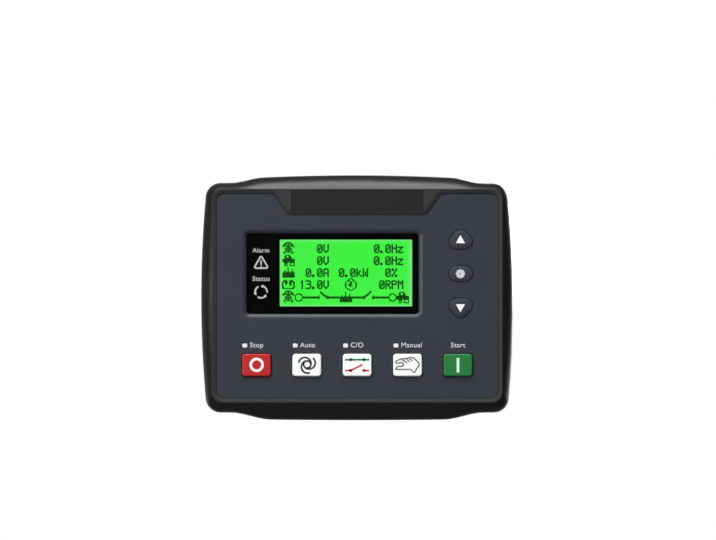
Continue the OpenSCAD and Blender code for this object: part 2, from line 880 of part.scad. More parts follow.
module rear_case() {
    body = rectangle(body_w, body_h, body_r);
    color("#29292b")
        difference() {
            union() {
                slab(inset_points(OUTLINE, skirt_wall + fit), flange_front, flange_back);
                body_block(body);
            }
            difference() {
                prism(inset(body, case_wall), flange_front - 1, wall_inner);
                for (m = POSTS)
                    rod(m, post_r, post_start, wall_inner + 1);
                for (m = STANDS)
                    rod(m, stand_r, main_back, wall_inner + 1);
            }
            for (m = POSTS) {
                rod(m, screw_r + hole_gap, post_start - 1, body_d + 1);
                rod(m, case_head_r + head_gap, body_d - counterbore, body_d + 1);
            }
            for (m = STANDS)
                rod(m, board_screw_r + thread_gap, main_back - 1, main_back + main_screw_l + 1);
            for (c = CONNECTORS)
                prism(rectangle(socket_w(c[0], c[1]) + 2 * fit, socket_d + 2 * fit, 0.6, connector_mid(c)),
                    wall_inner - 1, body_d + 1);
            for (i = [0:vent_count - 1], side = [-1, 1])
                prism(rectangle(vent_w, vent_l, vent_w / 2 - eps,
                        [(i - (vent_count - 1) / 2) * vent_pitch, side * (vent_l / 2 + 2)]),
                    wall_inner - 1, body_d + 1);
            for (s = SLOTS)
                box(s[0], s[1]);
        }
}

module panel_gasket() {
    color("#17171a")
        difference() {
            slab(inset_points(OUTLINE, skirt_wall + 2 * fit), flange_back, 0);
            prism(rectangle(body_w + 2 * touch, body_h + 2 * touch, body_r + touch), flange_back - 1, 1);
        }
}

module case_screws() {
    color("#c3c6ca")
        for (m = POSTS)
            screw(m, screw_r, case_head_r, body_d - counterbore, post_start - screw_bite, head_h);
}

// Main board

module main_board() {
    color("#1d5b34")
        difference() {
            prism(rectangle(board_w, main_h, 1), main_front, main_back);
            for (m = STANDS)
                rod(m, board_screw_r + hole_gap, main_front - 1, main_back + 1);
        }
}

module main_board_screws() {
    color("#b9bcc0")
        for (m = STANDS)
            screw(m, board_screw_r, board_head_r, main_front, main_back + main_screw_l, -board_head_h);
}

relay_w = 20;
relay_d = 5;
relay_h = 10.3;
relay_pitch = 7;
relay_in = 25.5;
part_in = 16.1;

module relays() {
    color("#f0a01e")
        for (i = [0:3])
            prism(rectangle(relay_w, relay_d, 0.4,
                    [relay_in - board_w / 2, part_in - main_h / 2 + i * relay_pitch]),
                main_front - relay_h, main_front);
}

cap_r = 4;
cap_h = 10;
cap_pitch = 11;
cap_in = 19.5;

module capacitors() {
    color("#1f2f6b")
        for (i = [0:2])
            rod([board_w / 2 - cap_in - i * cap_pitch, main_h / 2 - part_in], cap_r,
                main_front - cap_h, main_front);
}

// Terminals

function way_x(c, i) = c[2] + (i - (c[0] - 1) / 2) * c[1];

module socket(c) {
    mid = connector_mid(c);
    outer = rectangle(socket_w(c[0], c[1]), socket_d, 0.3, mid);
    color("#2f8f4e")
        difference() {
            prism(outer, main_back, socket_mouth);
            prism(inset(outer, shroud), main_back + socket_floor, socket_mouth + 1);
        }
    color("#c9ccd0")
        for (i = [0:c[0] - 1])
            prism(rectangle(pin_w, pin_w, 0, [way_x(c, i), mid.y]),
                main_back + socket_floor, socket_mouth - pin_short);
}

// A plug, with its screws on the side away from the middle of the body
module plug(c) {
    mid = connector_mid(c);
    side = c[3];
    half = c[0] * c[1] / 2 - nose_gap;
    nose_half = socket_d / 2 - shroud - nose_gap;
    start = socket_mouth + touch;
    section = [
        [socket_mouth - nose_l, -nose_half],
        [start, -nose_half],
        [start, -plug_inner],
        [plug_back, -plug_inner],
        [plug_back, 2],
        [plug_back - 2.2, plug_outer],
        [start, plug_outer],
        [start, nose_half],
        [socket_mouth - nose_l, nose_half]
    ];
    color("#2f8f4e")
        difference() {
            translate([c[2] - half, 0, mid.y])
                rotate([90, 0, 90])
                    linear_extrude(2 * half)
                        polygon([for (p = section) [p.x, side * p.y]]);
            for (i = [0:c[0] - 1]) {
                x = way_x(c, i);
                prism(rectangle(entry_w, entry_h, 0.5, [x, mid.y - side * entry_in]),
                    plug_back - entry_l, plug_back + 1);
                prism(rectangle(pin_w + 2 * pin_gap, pin_w + 2 * pin_gap, 0, [x, mid.y]),
                    socket_mouth - nose_l - 1, socket_mouth - pin_short + fit);
                driver_hole(c, i);
            }
        }
}

module driver_hole(c, i) {
    translate([way_x(c, i), socket_mouth + driver_y, connector_mid(c).y + c[3] * driver_floor])
        rotate([c[3] > 0 ? 0 : 180, 0, 0])
            cylinder(r = driver_r, h = plug_outer);
}

module terminal_screws() {
    color("#c9ccd0")
        for (c = CONNECTORS, i = [0:c[0] - 1])
            translate([way_x(c, i), socket_mouth + driver_y, connector_mid(c).y + c[3] * driver_floor])
                rotate([c[3] > 0 ? 0 : 180, 0, 0])
                    difference() {
                        cylinder(r = terminal_screw_r, h = terminal_screw_h);
                        translate([-terminal_screw_r - 1, -0.3, terminal_screw_h - 0.7])
                            cube([2 * terminal_screw_r + 2, 0.6, 1]);
                    }
}

// Clips: a hooked block on each side, with a clamp screw that bears on the cabinet panel

module clip(side) {
    near = body_w / 2 + touch;
    hook_in = body_in_w / 2 - touch - hook_t;
    section = [
        [near, slot_front + touch],
        [near + clip_w / 3, slot_front - clip_nose],
        [near + clip_w, slot_front - clip_nose],
        [near + clip_w, clip_back],
        [near, clip_back],
        [near, slot_front + slot_l - touch],
        [hook_in + hook_t, slot_front + slot_l - touch],
        [hook_in + hook_t, slot_front + slot_l + hook_run - touch],
        [hook_in, slot_front + slot_l + hook_run - touch],
        [hook_in, slot_front + touch]
    ];
    color("#3d3e42")
        difference() {
            union() {
                translate([0, 0, -clip_h / 2])
                    linear_extrude(clip_h)
                        polygon([for (i = [0:4]) [side * section[i].x, section[i].y]]);
                translate([0, 0, -slot_h / 2 + fit])
                    linear_extrude(slot_h - 2 * fit)
                        polygon([for (p = section) [side * p.x, p.y]]);
            }
            rod([side * clamp_x, 0], clamp_r + thread_gap, 0, clip_back + 1);
        }
}

module left_clip() {
    clip(-1);
}

module right_clip() {
    clip(1);
}

module clamp_screws() {
    color("#c3c6ca")
        for (side = [-1, 1])
            difference() {
                screw([side * clamp_x, 0], clamp_r, clamp_head_r, clamp_back, clamp_tip, clamp_head);
                box([side * clamp_x - clip_w, clamp_back + clamp_head - clamp_slot_d, -clamp_slot_w / 2],
                    [side * clamp_x + clip_w, clamp_back + clamp_head + 1, clamp_slot_w / 2]);
            }
}

front_case();
face_panel();
display_window();
window_mask();
stop_key();
auto_key();
changeover_key();
manual_key();
start_key();
up_key();
menu_key();
down_key();
plunger(0);  // stop_plunger
plunger(1);  // auto_plunger
plunger(2);  // changeover_plunger
plunger(3);  // manual_plunger
plunger(4);  // start_plunger
plunger(5);  // up_plunger
plunger(6);  // menu_plunger
plunger(7);  // down_plunger
lamp(0);  // stop_lamp
lamp(1);  // auto_lamp
lamp(2);  // changeover_lamp
lamp(3);  // manual_lamp
alarm_light_guide();
status_light_guide();
display_frame();
display_glass();
display_backlight();
display_board();
key_switches();
indicator_leds();
processor_chip();
board_screws();
rear_case();
panel_gasket();
case_screws();
main_board();
board_link();
relays();
capacitors();
main_board_screws();
socket(OUTPUT);  // output_socket
socket(INPUT);  // input_socket
socket(GENERATOR);  // generator_socket
socket(CURRENT);  // current_socket
socket(MAINS);  // mains_socket
plug(OUTPUT);  // output_plug
plug(INPUT);  // input_plug
plug(GENERATOR);  // generator_plug
plug(CURRENT);  // current_plug
plug(MAINS);  // mains_plug
terminal_screws();
left_clip();
right_clip();
clamp_screws();
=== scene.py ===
"""Genset controller: the looks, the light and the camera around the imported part.

Sizes in the classes are in millimetres. Finished meshes are in metres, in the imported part's frame.
"""

import logging
import math
from contextlib import contextmanager
from dataclasses import dataclass, field
from enum import Enum
from functools import cache
from typing import Callable, Iterator, Sequence

import bpy
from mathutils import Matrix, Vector


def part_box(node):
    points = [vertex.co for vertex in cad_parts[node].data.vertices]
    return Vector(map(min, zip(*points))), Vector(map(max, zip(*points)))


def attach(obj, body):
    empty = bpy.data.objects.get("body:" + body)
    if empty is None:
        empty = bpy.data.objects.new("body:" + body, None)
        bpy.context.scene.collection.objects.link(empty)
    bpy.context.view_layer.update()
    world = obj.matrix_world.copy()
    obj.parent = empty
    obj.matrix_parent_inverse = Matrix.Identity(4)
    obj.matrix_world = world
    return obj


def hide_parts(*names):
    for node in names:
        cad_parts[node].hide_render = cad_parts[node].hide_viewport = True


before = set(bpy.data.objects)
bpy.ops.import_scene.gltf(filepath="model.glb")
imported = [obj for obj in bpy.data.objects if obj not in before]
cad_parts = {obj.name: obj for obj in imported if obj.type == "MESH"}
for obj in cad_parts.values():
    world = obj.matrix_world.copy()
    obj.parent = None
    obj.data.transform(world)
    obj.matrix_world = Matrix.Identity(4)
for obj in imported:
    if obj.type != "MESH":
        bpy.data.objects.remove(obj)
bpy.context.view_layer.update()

MM = 0.001
HOUSING = "housing"
FACING_VIEWER = (math.radians(90), 0.0, 0.0)
# A face looks straight at the viewer when its normal's Y is below this
SQUARE_ON = -0.999
# Angles in degrees under which faces become one: for plain parts, and for those with fine round facets
PLAIN_FLAT = 0.2
ROUND_FLAT = 0.05
WHITE = (1.0, 1.0, 1.0, 1.0)
LOG = logging.getLogger("genset_controller")

Object = bpy.types.Object
Node = bpy.types.Node
Socket = bpy.types.NodeSocket
Point = tuple[float, float]
Colour = tuple[int, int, int]
Inputs = dict[str | int, object]


class Align(Enum):
    """How a printed word lies about its point."""

    LEFT = "LEFT"
    CENTRE = "CENTER"


class Pick(Enum):
    """What edit mode selects."""

    EDGES = (False, True, False)
    FACES = (False, False, True)


class Ease(Enum):
    """How a ramp runs between its ends."""

    EVEN = "LINEAR"
    SOFT = "SMOOTHSTEP"


class Weight(Enum):
    """Which half dots of the display a dark dot covers, along and down from its corner."""

    PLAIN = ((0, 1), (0, 1))
    WIDE = ((-1, 0, 1), (0, 1))
    BOLD = ((-2, -1, 0), (-1, 0, 1))


class Symbol(Enum):
    """The mark on a key, by the method that draws it."""

    RING = "ring"
    SWIRL = "swirl"
    SWITCHES = "switches"
    HAND = "hand"
    BAR = "bar"
    ARROW_UP = "arrow_up"
    GEAR = "gear"
    ARROW_DOWN = "arrow_down"


@dataclass(frozen=True)
class Layer:
    """Where a flat piece lies: its back along Y, and how far it stands towards the viewer."""

    back: float
    thickness: float


# Bench: modelling steps, each done with Blender's own operators


def deselect() -> None:
    """Leave edit mode and deselect everything."""
    if bpy.context.object and bpy.context.object.mode != "OBJECT":
        bpy.ops.object.mode_set(mode="OBJECT")
    bpy.ops.object.select_all(action="DESELECT")


def take(piece: Object) -> None:
    """Make one piece the only selected and active object.

    Args:
        piece: The object.
    """
    deselect()
    piece.select_set(True)
    bpy.context.view_layer.objects.active = piece


@contextmanager
def editing(piece: Object, pick: Pick = Pick.FACES) -> Iterator[None]:
    """Hold one piece in edit mode.

    Args:
        piece: The mesh object to edit.
        pick: What is selected there.

    Returns:
        A context that goes back to object mode at its end.
    """
    take(piece)
    bpy.context.scene.tool_settings.mesh_select_mode = pick.value
    bpy.ops.object.mode_set(mode="EDIT")
    yield
    bpy.ops.object.mode_set(mode="OBJECT")


def pick_faces(piece: Object, test: Callable[[bpy.types.MeshPolygon], bool]) -> None:
    """Select the faces that pass a test, and nothing else.

    Args:
        piece: The mesh object, in object mode.
        test: Says for each face whether it is picked.
    """
    mesh = piece.data
    for part in (mesh.vertices, mesh.edges):
        part.foreach_set("select", [False] * len(part))
    for face in mesh.polygons:
        face.select = test(face)


def modify(piece: Object, kind: str, **settings: object) -> None:
    """Add a modifier, set it and apply it.

    Args:
        piece: The object that is changed.
        kind: The modifier's type.
        **settings: Its values by name.
    """
    take(piece)
    modifier = piece.modifiers.new(kind.lower(), kind)
    for key, value in settings.items():
        setattr(modifier, key, value)
    bpy.ops.object.modifier_apply(modifier=modifier.name)


def smooth(piece: Object, angle: float = 32.0) -> None:
    """Shade smooth across edges flatter than an angle in degrees, with the large faces kept flat.

    Args:
        piece: The mesh object.
        angle: The angle in degrees.
    """
    take(piece)
    bpy.ops.object.shade_smooth_by_angle(angle=math.radians(angle))
    modify(piece, "WEIGHTED_NORMAL", mode="FACE_AREA", keep_sharp=True, weight=50)


def soften(piece: Object, width: float, limit: float = 40.0, angle: float = 32.0) -> None:
    """Round the sharp edges of a piece by a small radius.

    Args:
        piece: The mesh object.
        width: The width of the rounding.
        limit: Edges sharper than this angle in degrees are rounded.
        angle: Edges flatter than this angle in degrees are shaded smooth.
    """
    modify(piece, "BEVEL", width=width * MM, segments=2, limit_method="ANGLE",
           angle_limit=math.radians(limit), use_clamp_overlap=True, harden_normals=False)
    smooth(piece, angle)


def copy_node(node: str, name: str, flat: float = PLAIN_FLAT, weld: float = 0.002) -> Object:
    """Copy a CAD node into a new object with its loose triangles joined into clean faces.

    Args:
        node: The CAD node.
        name: The new object's name.
        flat: Faces closer to level than this angle in degrees become one face.
        weld: Points closer than this become one point.

    Returns:
        The new object.
    """
    piece = bpy.data.objects.new(name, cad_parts[node].data.copy())
    bpy.context.scene.collection.objects.link(piece)
    with editing(piece):
        bpy.ops.mesh.select_all(action="SELECT")
        bpy.ops.mesh.customdata_custom_splitnormals_clear()
        bpy.ops.mesh.remove_doubles(threshold=weld * MM)
        bpy.ops.mesh.dissolve_limited(angle_limit=math.radians(flat))
    return piece


def settle(piece: Object) -> None:
    """Put a piece's place into its mesh, so that its object sits at the origin."""
    take(piece)
    bpy.ops.object.transform_apply(location=True, rotation=True, scale=True)


def join(name: str, pieces: Sequence[Object]) -> Object:
    """Join pieces into one object.

    Args:
        name: The joined object's name.
        pieces: The objects, of which the first takes in the rest.

    Returns:
        The joined object.
    """
    take(pieces[0])
    for piece in pieces[1:]:
        piece.select_set(True)
    if len(pieces) > 1:
        bpy.ops.object.join()
    pieces[0].name = name
    return pieces[0]


def loop(name: str, outline: Sequence[Point], y: float, filled: bool) -> Object:
    """Start a flat loop that faces the viewer, from a circle whose points are moved.

    Args:
        name: The new object's name.
        outline: Points in X and Z, counter-clockwise.
        y: The loop's place along Y.
        filled: Whether the loop has a face.

    Returns:
        The new object.
    """
    deselect()
    bpy.ops.mesh.primitive_circle_add(
        vertices=len(outline), radius=MM, fill_type="NGON" if filled else "NOTHING")
    piece = bpy.context.object
    piece.name = name
    for vertex, (x, z) in zip(piece.data.vertices, outline):
        vertex.co = (x * MM, y * MM, z * MM)
    return piece


def thicken(piece: Object, thickness: float) -> None:
    """Extrude a flat piece towards the viewer and turn its faces outwards.

    Args:
        piece: The mesh object.
        thickness: How far it is extruded.
    """
    with editing(piece):
        bpy.ops.mesh.select_all(action="SELECT")
        bpy.ops.mesh.normals_make_consistent(inside=False)
        bpy.ops.mesh.extrude_region_move(TRANSFORM_OT_translate={"value": (0, -thickness * MM, 0)})
        bpy.ops.mesh.select_all(action="SELECT")
        bpy.ops.mesh.normals_make_consistent(inside=False)


def plate(name: str, outline: Sequence[Point], layer: Layer) -> Object:
    """Make a flat plate from its outline.

    Args:
        name: The new object's name.
        outline: Points in X and Z, counter-clockwise.
        layer: Where the plate lies.

    Returns:
        The new object.
    """
    piece = loop(name, outline, layer.back, True)
    thicken(piece, layer.thickness)
    return piece


def band(name: str, outer: Sequence[Point], inner: Sequence[Point], layer: Layer) -> Object:
    """Make a closed flat band by bridging two loops.

    Args:
        name: The new object's name.
        outer: The outer loop in X and Z.
        inner: The inner loop, with as many points.
        layer: Where the band lies.

    Returns:
        The new object.
    """
    piece = join(name, [loop(name, path, layer.back, False) for path in (outer, inner)])
    with editing(piece, Pick.EDGES):
        bpy.ops.mesh.select_all(action="SELECT")
        bpy.ops.mesh.bridge_edge_loops()
    thicken(piece, layer.thickness)
    return piece


def offset(path: Sequence[Point], distance: float, closed: bool, sharpest: float = 0.35) -> list[Point]:
    """Move a path to its left.

    Args:
        path: Points in X and Z.
        distance: How far it moves.
        closed: Whether the path runs back to its start.
        sharpest: The least cosine at a corner, which keeps a sharp corner from reaching far out.

    Returns:
        The moved points.
    """
    count = len(path)
    shifted = []
    for i, here in enumerate(path):
        before = path[i - 1] if closed or i > 0 else None
        after = path[(i + 1) % count] if closed or i < count - 1 else None
        steps = [Vector(b) - Vector(a) for a, b in ((before, here), (here, after)) if a and b]
        normals = [Vector((-s.y, s.x)).normalized() for s in steps]
        side = sum(normals, Vector((0, 0))).normalized()
        reach = distance / max(sharpest, side.dot(normals[0]))
        shifted.append((here[0] + side.x * reach, here[1] + side.y * reach))
    return shifted


def stroke(name: str, path: Sequence[Point], width: float, layer: Layer, closed: bool = False) -> Object:
    """Draw a line of even width along a path.

    Args:
        name: The new object's name.
        path: Points in X and Z.
        width: The line's width.
        layer: Where the line lies.
        closed: Whether the line runs back to its start.

    Returns:
        The new object.
    """
    left = offset(path, width / 2, closed)
    right = offset(path, -width / 2, closed)
    if closed:
        return band(name, right, left, layer)
    return plate(name, right + left[::-1], layer)


def point_at(middle: Point, radius: float, angle: float) -> Point:
    """Give the point at a radius and an angle in degrees from a middle."""
    turn = math.radians(angle)
    return (middle[0] + radius * math.cos(turn), middle[1] + radius * math.sin(turn))


def arc(middle: Point, radius: float, start: float, end: float, steps: int) -> list[Point]:
    """Give the points on an arc.

    Args:
        middle: The arc's centre.
        radius: Its radius.
        start: Its first angle in degrees.
        end: Its last angle in degrees.
        steps: How many steps it has.

    Returns:
        The points, with both ends.
    """
    return [point_at(middle, radius, start + (end - start) * i / steps) for i in range(steps + 1)]


def circle(middle: Point, radius: float, steps: int) -> list[Point]:
    """Give the points on a circle, each once."""
    return arc(middle, radius, 0, 360, steps)[:-1]


def moved(path: Sequence[Point], middle: Point) -> list[Point]:
    """Shift a path to its place about a middle point."""
    return [(x + middle[0], z + middle[1]) for x, z in path]


def curve_round(path: Sequence[Point], steps: int) -> list[Point]:
    """Run a smooth closed curve through some points.

    Args:
        path: The points.
        steps: Steps between two points.

    Returns:
        The curve's points.
    """
    count = len(path)
    points = []
    for i in range(count):
        a, b, c, d = (Vector(path[k % count]) for k in (i - 1, i, i + 1, i + 2))
        for step in range(steps):
            t = step / steps
            spot = 0.5 * (2 * b + (c - a) * t + (2 * a - 5 * b + 4 * c - d) * t ** 2
                          + (3 * b - a - 3 * c + d) * t ** 3)
            points.append((spot.x, spot.y))
    return points


# Finishes: each makes one material from procedural nodes


def linear(colour: Colour) -> tuple[float, float, float, float]:
    """Turn a screen colour of 0 to 255 into the shader's linear values."""
    parts = [c / 255 for c in colour]
    return (*(p / 12.92 if p <= 0.04045 else ((p + 0.055) / 1.055) ** 2.4 for p in parts), 1.0)


def lighter(colour: Colour, step: int) -> Colour:
    """Make a colour lighter by the same step in each part."""
    return tuple(c + step for c in colour)


class Graph:
    """A node tree with short calls that add and link its nodes."""

    def __init__(self, tree: bpy.types.NodeTree) -> None:
        """Take a tree and empty it."""
        self.tree = tree
        tree.nodes.clear()

    def add(self, kind: str, inputs: Inputs | None = None, **values: object) -> Node:
        """Add a node.

        Args:
            kind: The node's type, without its ShaderNode start.
            inputs: Values or sockets for its inputs, by name or number.
            **values: Its settings.

        Returns:
            The new node.
        """
        node = self.tree.nodes.new(kind if kind.startswith("Node") else "ShaderNode" + kind)
        for key, value in values.items():
            setattr(node, key, value)
        self.feed(node, inputs or {})
        return node

    def feed(self, node: Node, inputs: Inputs) -> None:
        """Link sockets to a node's inputs, or set the inputs to values.

        Args:
            node: The node.
            inputs: Values or sockets for its inputs, by name or number.
        """
        for key, value in inputs.items():
            if isinstance(value, Socket):
                self.tree.links.new(value, node.inputs[key])
            else:
                node.inputs[key].default_value = value

    def math(self, operation: str, *terms: object) -> Socket:
        """Add a Math node and give back its result."""
        return self.add("Math", dict(enumerate(terms)), operation=operation).outputs[0]

    def vector(self, operation: str, *terms: object) -> Socket:
        """Add a Vector Math node and give back its vector."""
        return self.add("VectorMath", dict(enumerate(terms)), operation=operation).outputs[0]

    def tinted(self, colour: object, tone: Socket) -> Socket:
        """Multiply a colour by a tone."""
        return self.add("VectorMath", {0: colour, "Scale": tone}, operation="SCALE").outputs[0]

    def blend(self, factor: object, first: object, second: object) -> Socket:
        """Mix two colours and give back the result."""
        return self.add("Mix", {0: factor, 6: first, 7: second}, data_type="RGBA").outputs[2]

    def noise(self, spot: Socket, scale: object, detail: float = 2.0, roughness: float = 0.5) -> Socket:
        """Add noise of a scale and detail and give back its factor."""
        return self.add("TexNoise", {"Vector": spot, "Scale": scale, "Detail": detail,
                                     "Roughness": roughness}).outputs[0]

    def bump(self, height: Socket, depth: float, strength: float = 1.0) -> Socket:
        """Turn a height into a normal, with its depth in thousandths of a millimetre."""
        return self.add("Bump", {"Strength": strength, "Distance": depth * MM * MM,
                                 "Height": height}).outputs[0]

    def ramp(self, value: Socket, span: Point, low: float = 0.0, high: float = 1.0,
             ease: Ease = Ease.EVEN) -> Socket:
        """Map a value to a new range.

        Args:
            value: The value.
            span: Where the ramp starts and ends.
            low: The result before its start.
            high: The result after its end.
            ease: How it runs between.

        Returns:
            The result.
        """
        return self.add("MapRange", {
            "Value": value, "From Min": span[0], "From Max": span[1], "To Min": low, "To Max": high,
        }, interpolation_type=ease.value).outputs[0]

    def seen(self, share: Socket) -> Socket:
        """Give 1 for a ray from the camera, and a share for one from gloss or glass.

        Args:
            share: The share.

        Returns:
            The result.
        """
        rays = self.add("LightPath").outputs
        other = self.math("MAXIMUM", rays["Is Glossy Ray"], rays["Is Transmission Ray"])
        return self.math("MAXIMUM", rays["Is Camera Ray"], self.math("MULTIPLY", other, share))


def new_group(name: str, inputs: dict[str, str], outputs: dict[str, str]) -> Graph:
    """Start a shader node group.

    Args:
        name: The group's name.
        inputs: Its inputs, each with the end of its socket type.
        outputs: Its outputs in the same way.

    Returns:
        The group's graph.
    """
    tree = bpy.data.node_groups.new(name, "ShaderNodeTree")
    for sockets, side in ((inputs, "INPUT"), (outputs, "OUTPUT")):
        for key, kind in sockets.items():
            tree.interface.new_socket(key, in_out=side, socket_type="NodeSocket" + kind)
    return Graph(tree)


@cache
def moulded_grain() -> bpy.types.NodeTree:
    """Build the group for fine grain, slow mottling and uneven gloss, once.

    Returns:
        The group.
    """
    graph = new_group(
        "moulded_grain",
        {"Vector": "Vector", "Colour": "Color", "Mottling": "Float", "Grain Scale": "Float",
         "Roughness": "Float", "Spread": "Float"},
        {"Colour": "Color", "Roughness": "Float", "Height": "Float"})
    slow_scale, slow_detail, fine_roughness, mean, speck_share = 70.0, 3.0, 0.6, 0.5, 0.5
    given = graph.add("NodeGroupInput").outputs
    slow = graph.noise(given["Vector"], slow_scale, slow_detail)
    fine = graph.noise(given["Vector"], given["Grain Scale"], roughness=fine_roughness)
    sway = graph.math("SUBTRACT", slow, mean)
    speck = graph.math("SUBTRACT", fine, mean)
    stain = graph.math("ADD", sway, graph.math("MULTIPLY", speck, speck_share))
    tone = graph.math("MULTIPLY_ADD", stain, given["Mottling"], 1.0)
    gloss = graph.math("MULTIPLY_ADD", graph.math("ADD", sway, speck), given["Spread"], given["Roughness"])
    graph.add("NodeGroupOutput",
              {"Colour": graph.tinted(given["Colour"], tone), "Roughness": gloss, "Height": fine})
    return graph.tree


@cache
def turned_metal() -> bpy.types.NodeTree:
    """Build the group for tool marks on plated metal, once.

    Returns:
        The group.
    """
    graph = new_group(
        "turned_metal", {"Vector": "Vector", "Colour": "Color", "Roughness": "Float"},
        {"Colour": "Color", "Roughness": "Float", "Height": "Float"})
    stretch, mark_scale, mark_detail, mark_gloss = (1.0, 0.15, 1.0), 2600.0, 3.0, 0.2
    bloom_scale, bloom_spread, bloom_least = 420.0, 0.35, 0.82
    given = graph.add("NodeGroupInput").outputs
    stretched = graph.add("Mapping", {"Vector": given["Vector"], "Scale": stretch}).outputs[0]
    marks = graph.noise(stretched, mark_scale, mark_detail)
    bloom = graph.noise(given["Vector"], bloom_scale)
    tone = graph.math("MULTIPLY_ADD", bloom, bloom_spread, bloom_least)
    gloss = graph.math("MULTIPLY_ADD", marks, mark_gloss, given["Roughness"])
    graph.add("NodeGroupOutput",
              {"Colour": graph.tinted(given["Colour"], tone), "Roughness": gloss, "Height": marks})
    return graph.tree


@dataclass(frozen=True)
class Finish:
    """A surface finish, which makes its material the first time that it is asked for."""

    name: str

    def material(self) -> bpy.types.Material:
        """Give the finish's material.

        Returns:
            The material, made now or before.
        """
        found = bpy.data.materials.get(self.name)
        if found:
            return found
        made = bpy.data.materials.new(self.name)
        made.use_nodes = True
        graph = Graph(made.node_tree)
        shader = graph.add("BsdfPrincipled")
        graph.add("OutputMaterial", {"Surface": shader.outputs[0]})
        self.lay(graph, shader, graph.add("TexCoord").outputs["Object"])
        return made

    def lay(self, graph: Graph, shader: Node, spot: Socket) -> None:
        """Set the shader up.

        Args:
            graph: The material's graph.
            shader: Its main shader.
            spot: The Object coordinates.
        """
        raise NotImplementedError


@dataclass(frozen=True)
class Plastic(Finish):
    """Moulded or painted plastic with a fine grain.

    The grain is its size in millimetres, the depth its height in thousandths of a millimetre.
    """

    colour: Colour
    roughness: float = 0.5
    specular: float = 0.35
    grain: float = 0.25
    depth: float = 9.0
    mottling: float = 0.12
    spread: float = 0.12
    glow: float = 0.0
    coat: float = 0.0
    coat_roughness: float = 0.25

    def lay(self, graph: Graph, shader: Node, spot: Socket) -> None:
        """Set the shader up from the shared grain.

        Args:
            graph: The material's graph.
            shader: Its main shader.
            spot: The Object coordinates.
        """
        tint, roughness = self.base(graph, spot)
        grain = graph.add("Group", {
            "Vector": spot, "Colour": tint, "Mottling": self.mottling, "Grain Scale": 1 / (self.grain * MM),
            "Roughness": roughness, "Spread": self.spread,
        }, node_tree=moulded_grain()).outputs
        graph.feed(shader, {"Base Color": grain["Colour"], "Roughness": grain["Roughness"],
                            "Normal": graph.bump(grain["Height"], self.depth),
                            "Specular IOR Level": self.specular})
        if self.coat:
            graph.feed(shader, {"Coat Weight": self.coat, "Coat Roughness": self.coat_roughness})
        if self.glow:
            graph.feed(shader, {"Emission Color": linear(self.colour), "Emission Strength": self.glow})

    def base(self, graph: Graph, spot: Socket) -> tuple[object, object]:
        """Give the colour and the roughness that go into the grain.

        Args:
            graph: The material's graph.
            spot: The Object coordinates.

        Returns:
            The two values, or the sockets that make them.
        """
        return linear(self.colour), self.roughness


@dataclass(frozen=True)
class FrontPlastic(Plastic):
    """Moulded plastic whose front, inside the crest of its rim, has a paler and duller texture.

    The crest is a round-cornered box in X and Z, given by its middle, half sizes and corner.
    """

    front: Colour = (41, 41, 43)
    dullness: float = 0.42
    middle: Point = (0.0, 0.95)
    half: Point = (66.9, 49.15)
    corner: float = 4.8
    fade: float = 0.2

    def base(self, graph: Graph, spot: Socket) -> tuple[object, object]:
        """Blend from the front's colour and roughness to the rim's, by the distance from the crest's box.

        Args:
            graph: The material's graph.
            spot: The Object coordinates.

        Returns:
            The sockets that make the two.
        """
        # A metre along Y leaves only X and Z to count
        straight = ((self.half[0] - self.corner) * MM, 1.0, (self.half[1] - self.corner) * MM)
        centred = graph.vector("SUBTRACT", spot, (self.middle[0] * MM, 0.0, self.middle[1] * MM))
        past = graph.vector("SUBTRACT", graph.vector("ABSOLUTE", centred), straight)
        outside = graph.vector("MAXIMUM", past, (0.0, 0.0, 0.0))
        distance = graph.add("VectorMath", {0: outside}, operation="LENGTH").outputs["Value"]
        share = graph.ramp(distance, ((self.corner - self.fade) * MM, (self.corner + self.fade) * MM))
        roughness = graph.math("MULTIPLY_ADD", share, -self.dullness, self.roughness + self.dullness)
        return graph.blend(share, linear(self.front), linear(self.colour)), roughness


@dataclass(frozen=True)
class KeyCap(Plastic):
    """Moulded plastic of a row key."""

    roughness: float = 0.42
    grain: float = 0.2
    depth: float = 4.0
    mottling: float = 0.08


@dataclass(frozen=True)
class Ink(Plastic):
    """Thin print."""

    roughness: float = 0.5
    specular: float = 0.2
    grain: float = 0.1
    depth: float = 2.0


@dataclass(frozen=True)
class Metal(Finish):
    """Plated metal with fine tool marks."""

    colour: Colour
    roughness: float = 0.22
    depth: float = 4.0
    relief: float = 0.5

    def lay(self, graph: Graph, shader: Node, spot: Socket) -> None:
        """Set the shader up from the shared tool marks.

        Args:
            graph: The material's graph.
            shader: Its main shader.
            spot: The Object coordinates.
        """
        marks = graph.add("Group", {
            "Vector": spot, "Colour": linear(self.colour), "Roughness": self.roughness,
        }, node_tree=turned_metal()).outputs
        graph.feed(shader, {"Base Color": marks["Colour"], "Roughness": marks["Roughness"],
                            "Normal": graph.bump(marks["Height"], self.depth, self.relief), "Metallic": 1.0})


@dataclass(frozen=True)
class Acrylic(Finish):
    """Clear cover of the display, with a faint haze."""

    haze: float = 0.03
    haze_scale: float = 120.0
    haze_detail: float = 4.0
    polish: float = 0.01
    specular: float = 0.25
    bending: float = 1.49

    def lay(self, graph: Graph, shader: Node, spot: Socket) -> None:
        """Set the shader up as clear plastic with an uneven haze.

        Args:
            graph: The material's graph.
            shader: Its main shader.
            spot: The Object coordinates.
        """
        wipe = graph.noise(spot, self.haze_scale, self.haze_detail)
        graph.feed(shader, {"Roughness": graph.math("MULTIPLY_ADD", wipe, self.haze, self.polish),
                            "Base Color": WHITE, "Transmission Weight": 1.0, "IOR": self.bending,
                            "Specular IOR Level": self.specular})


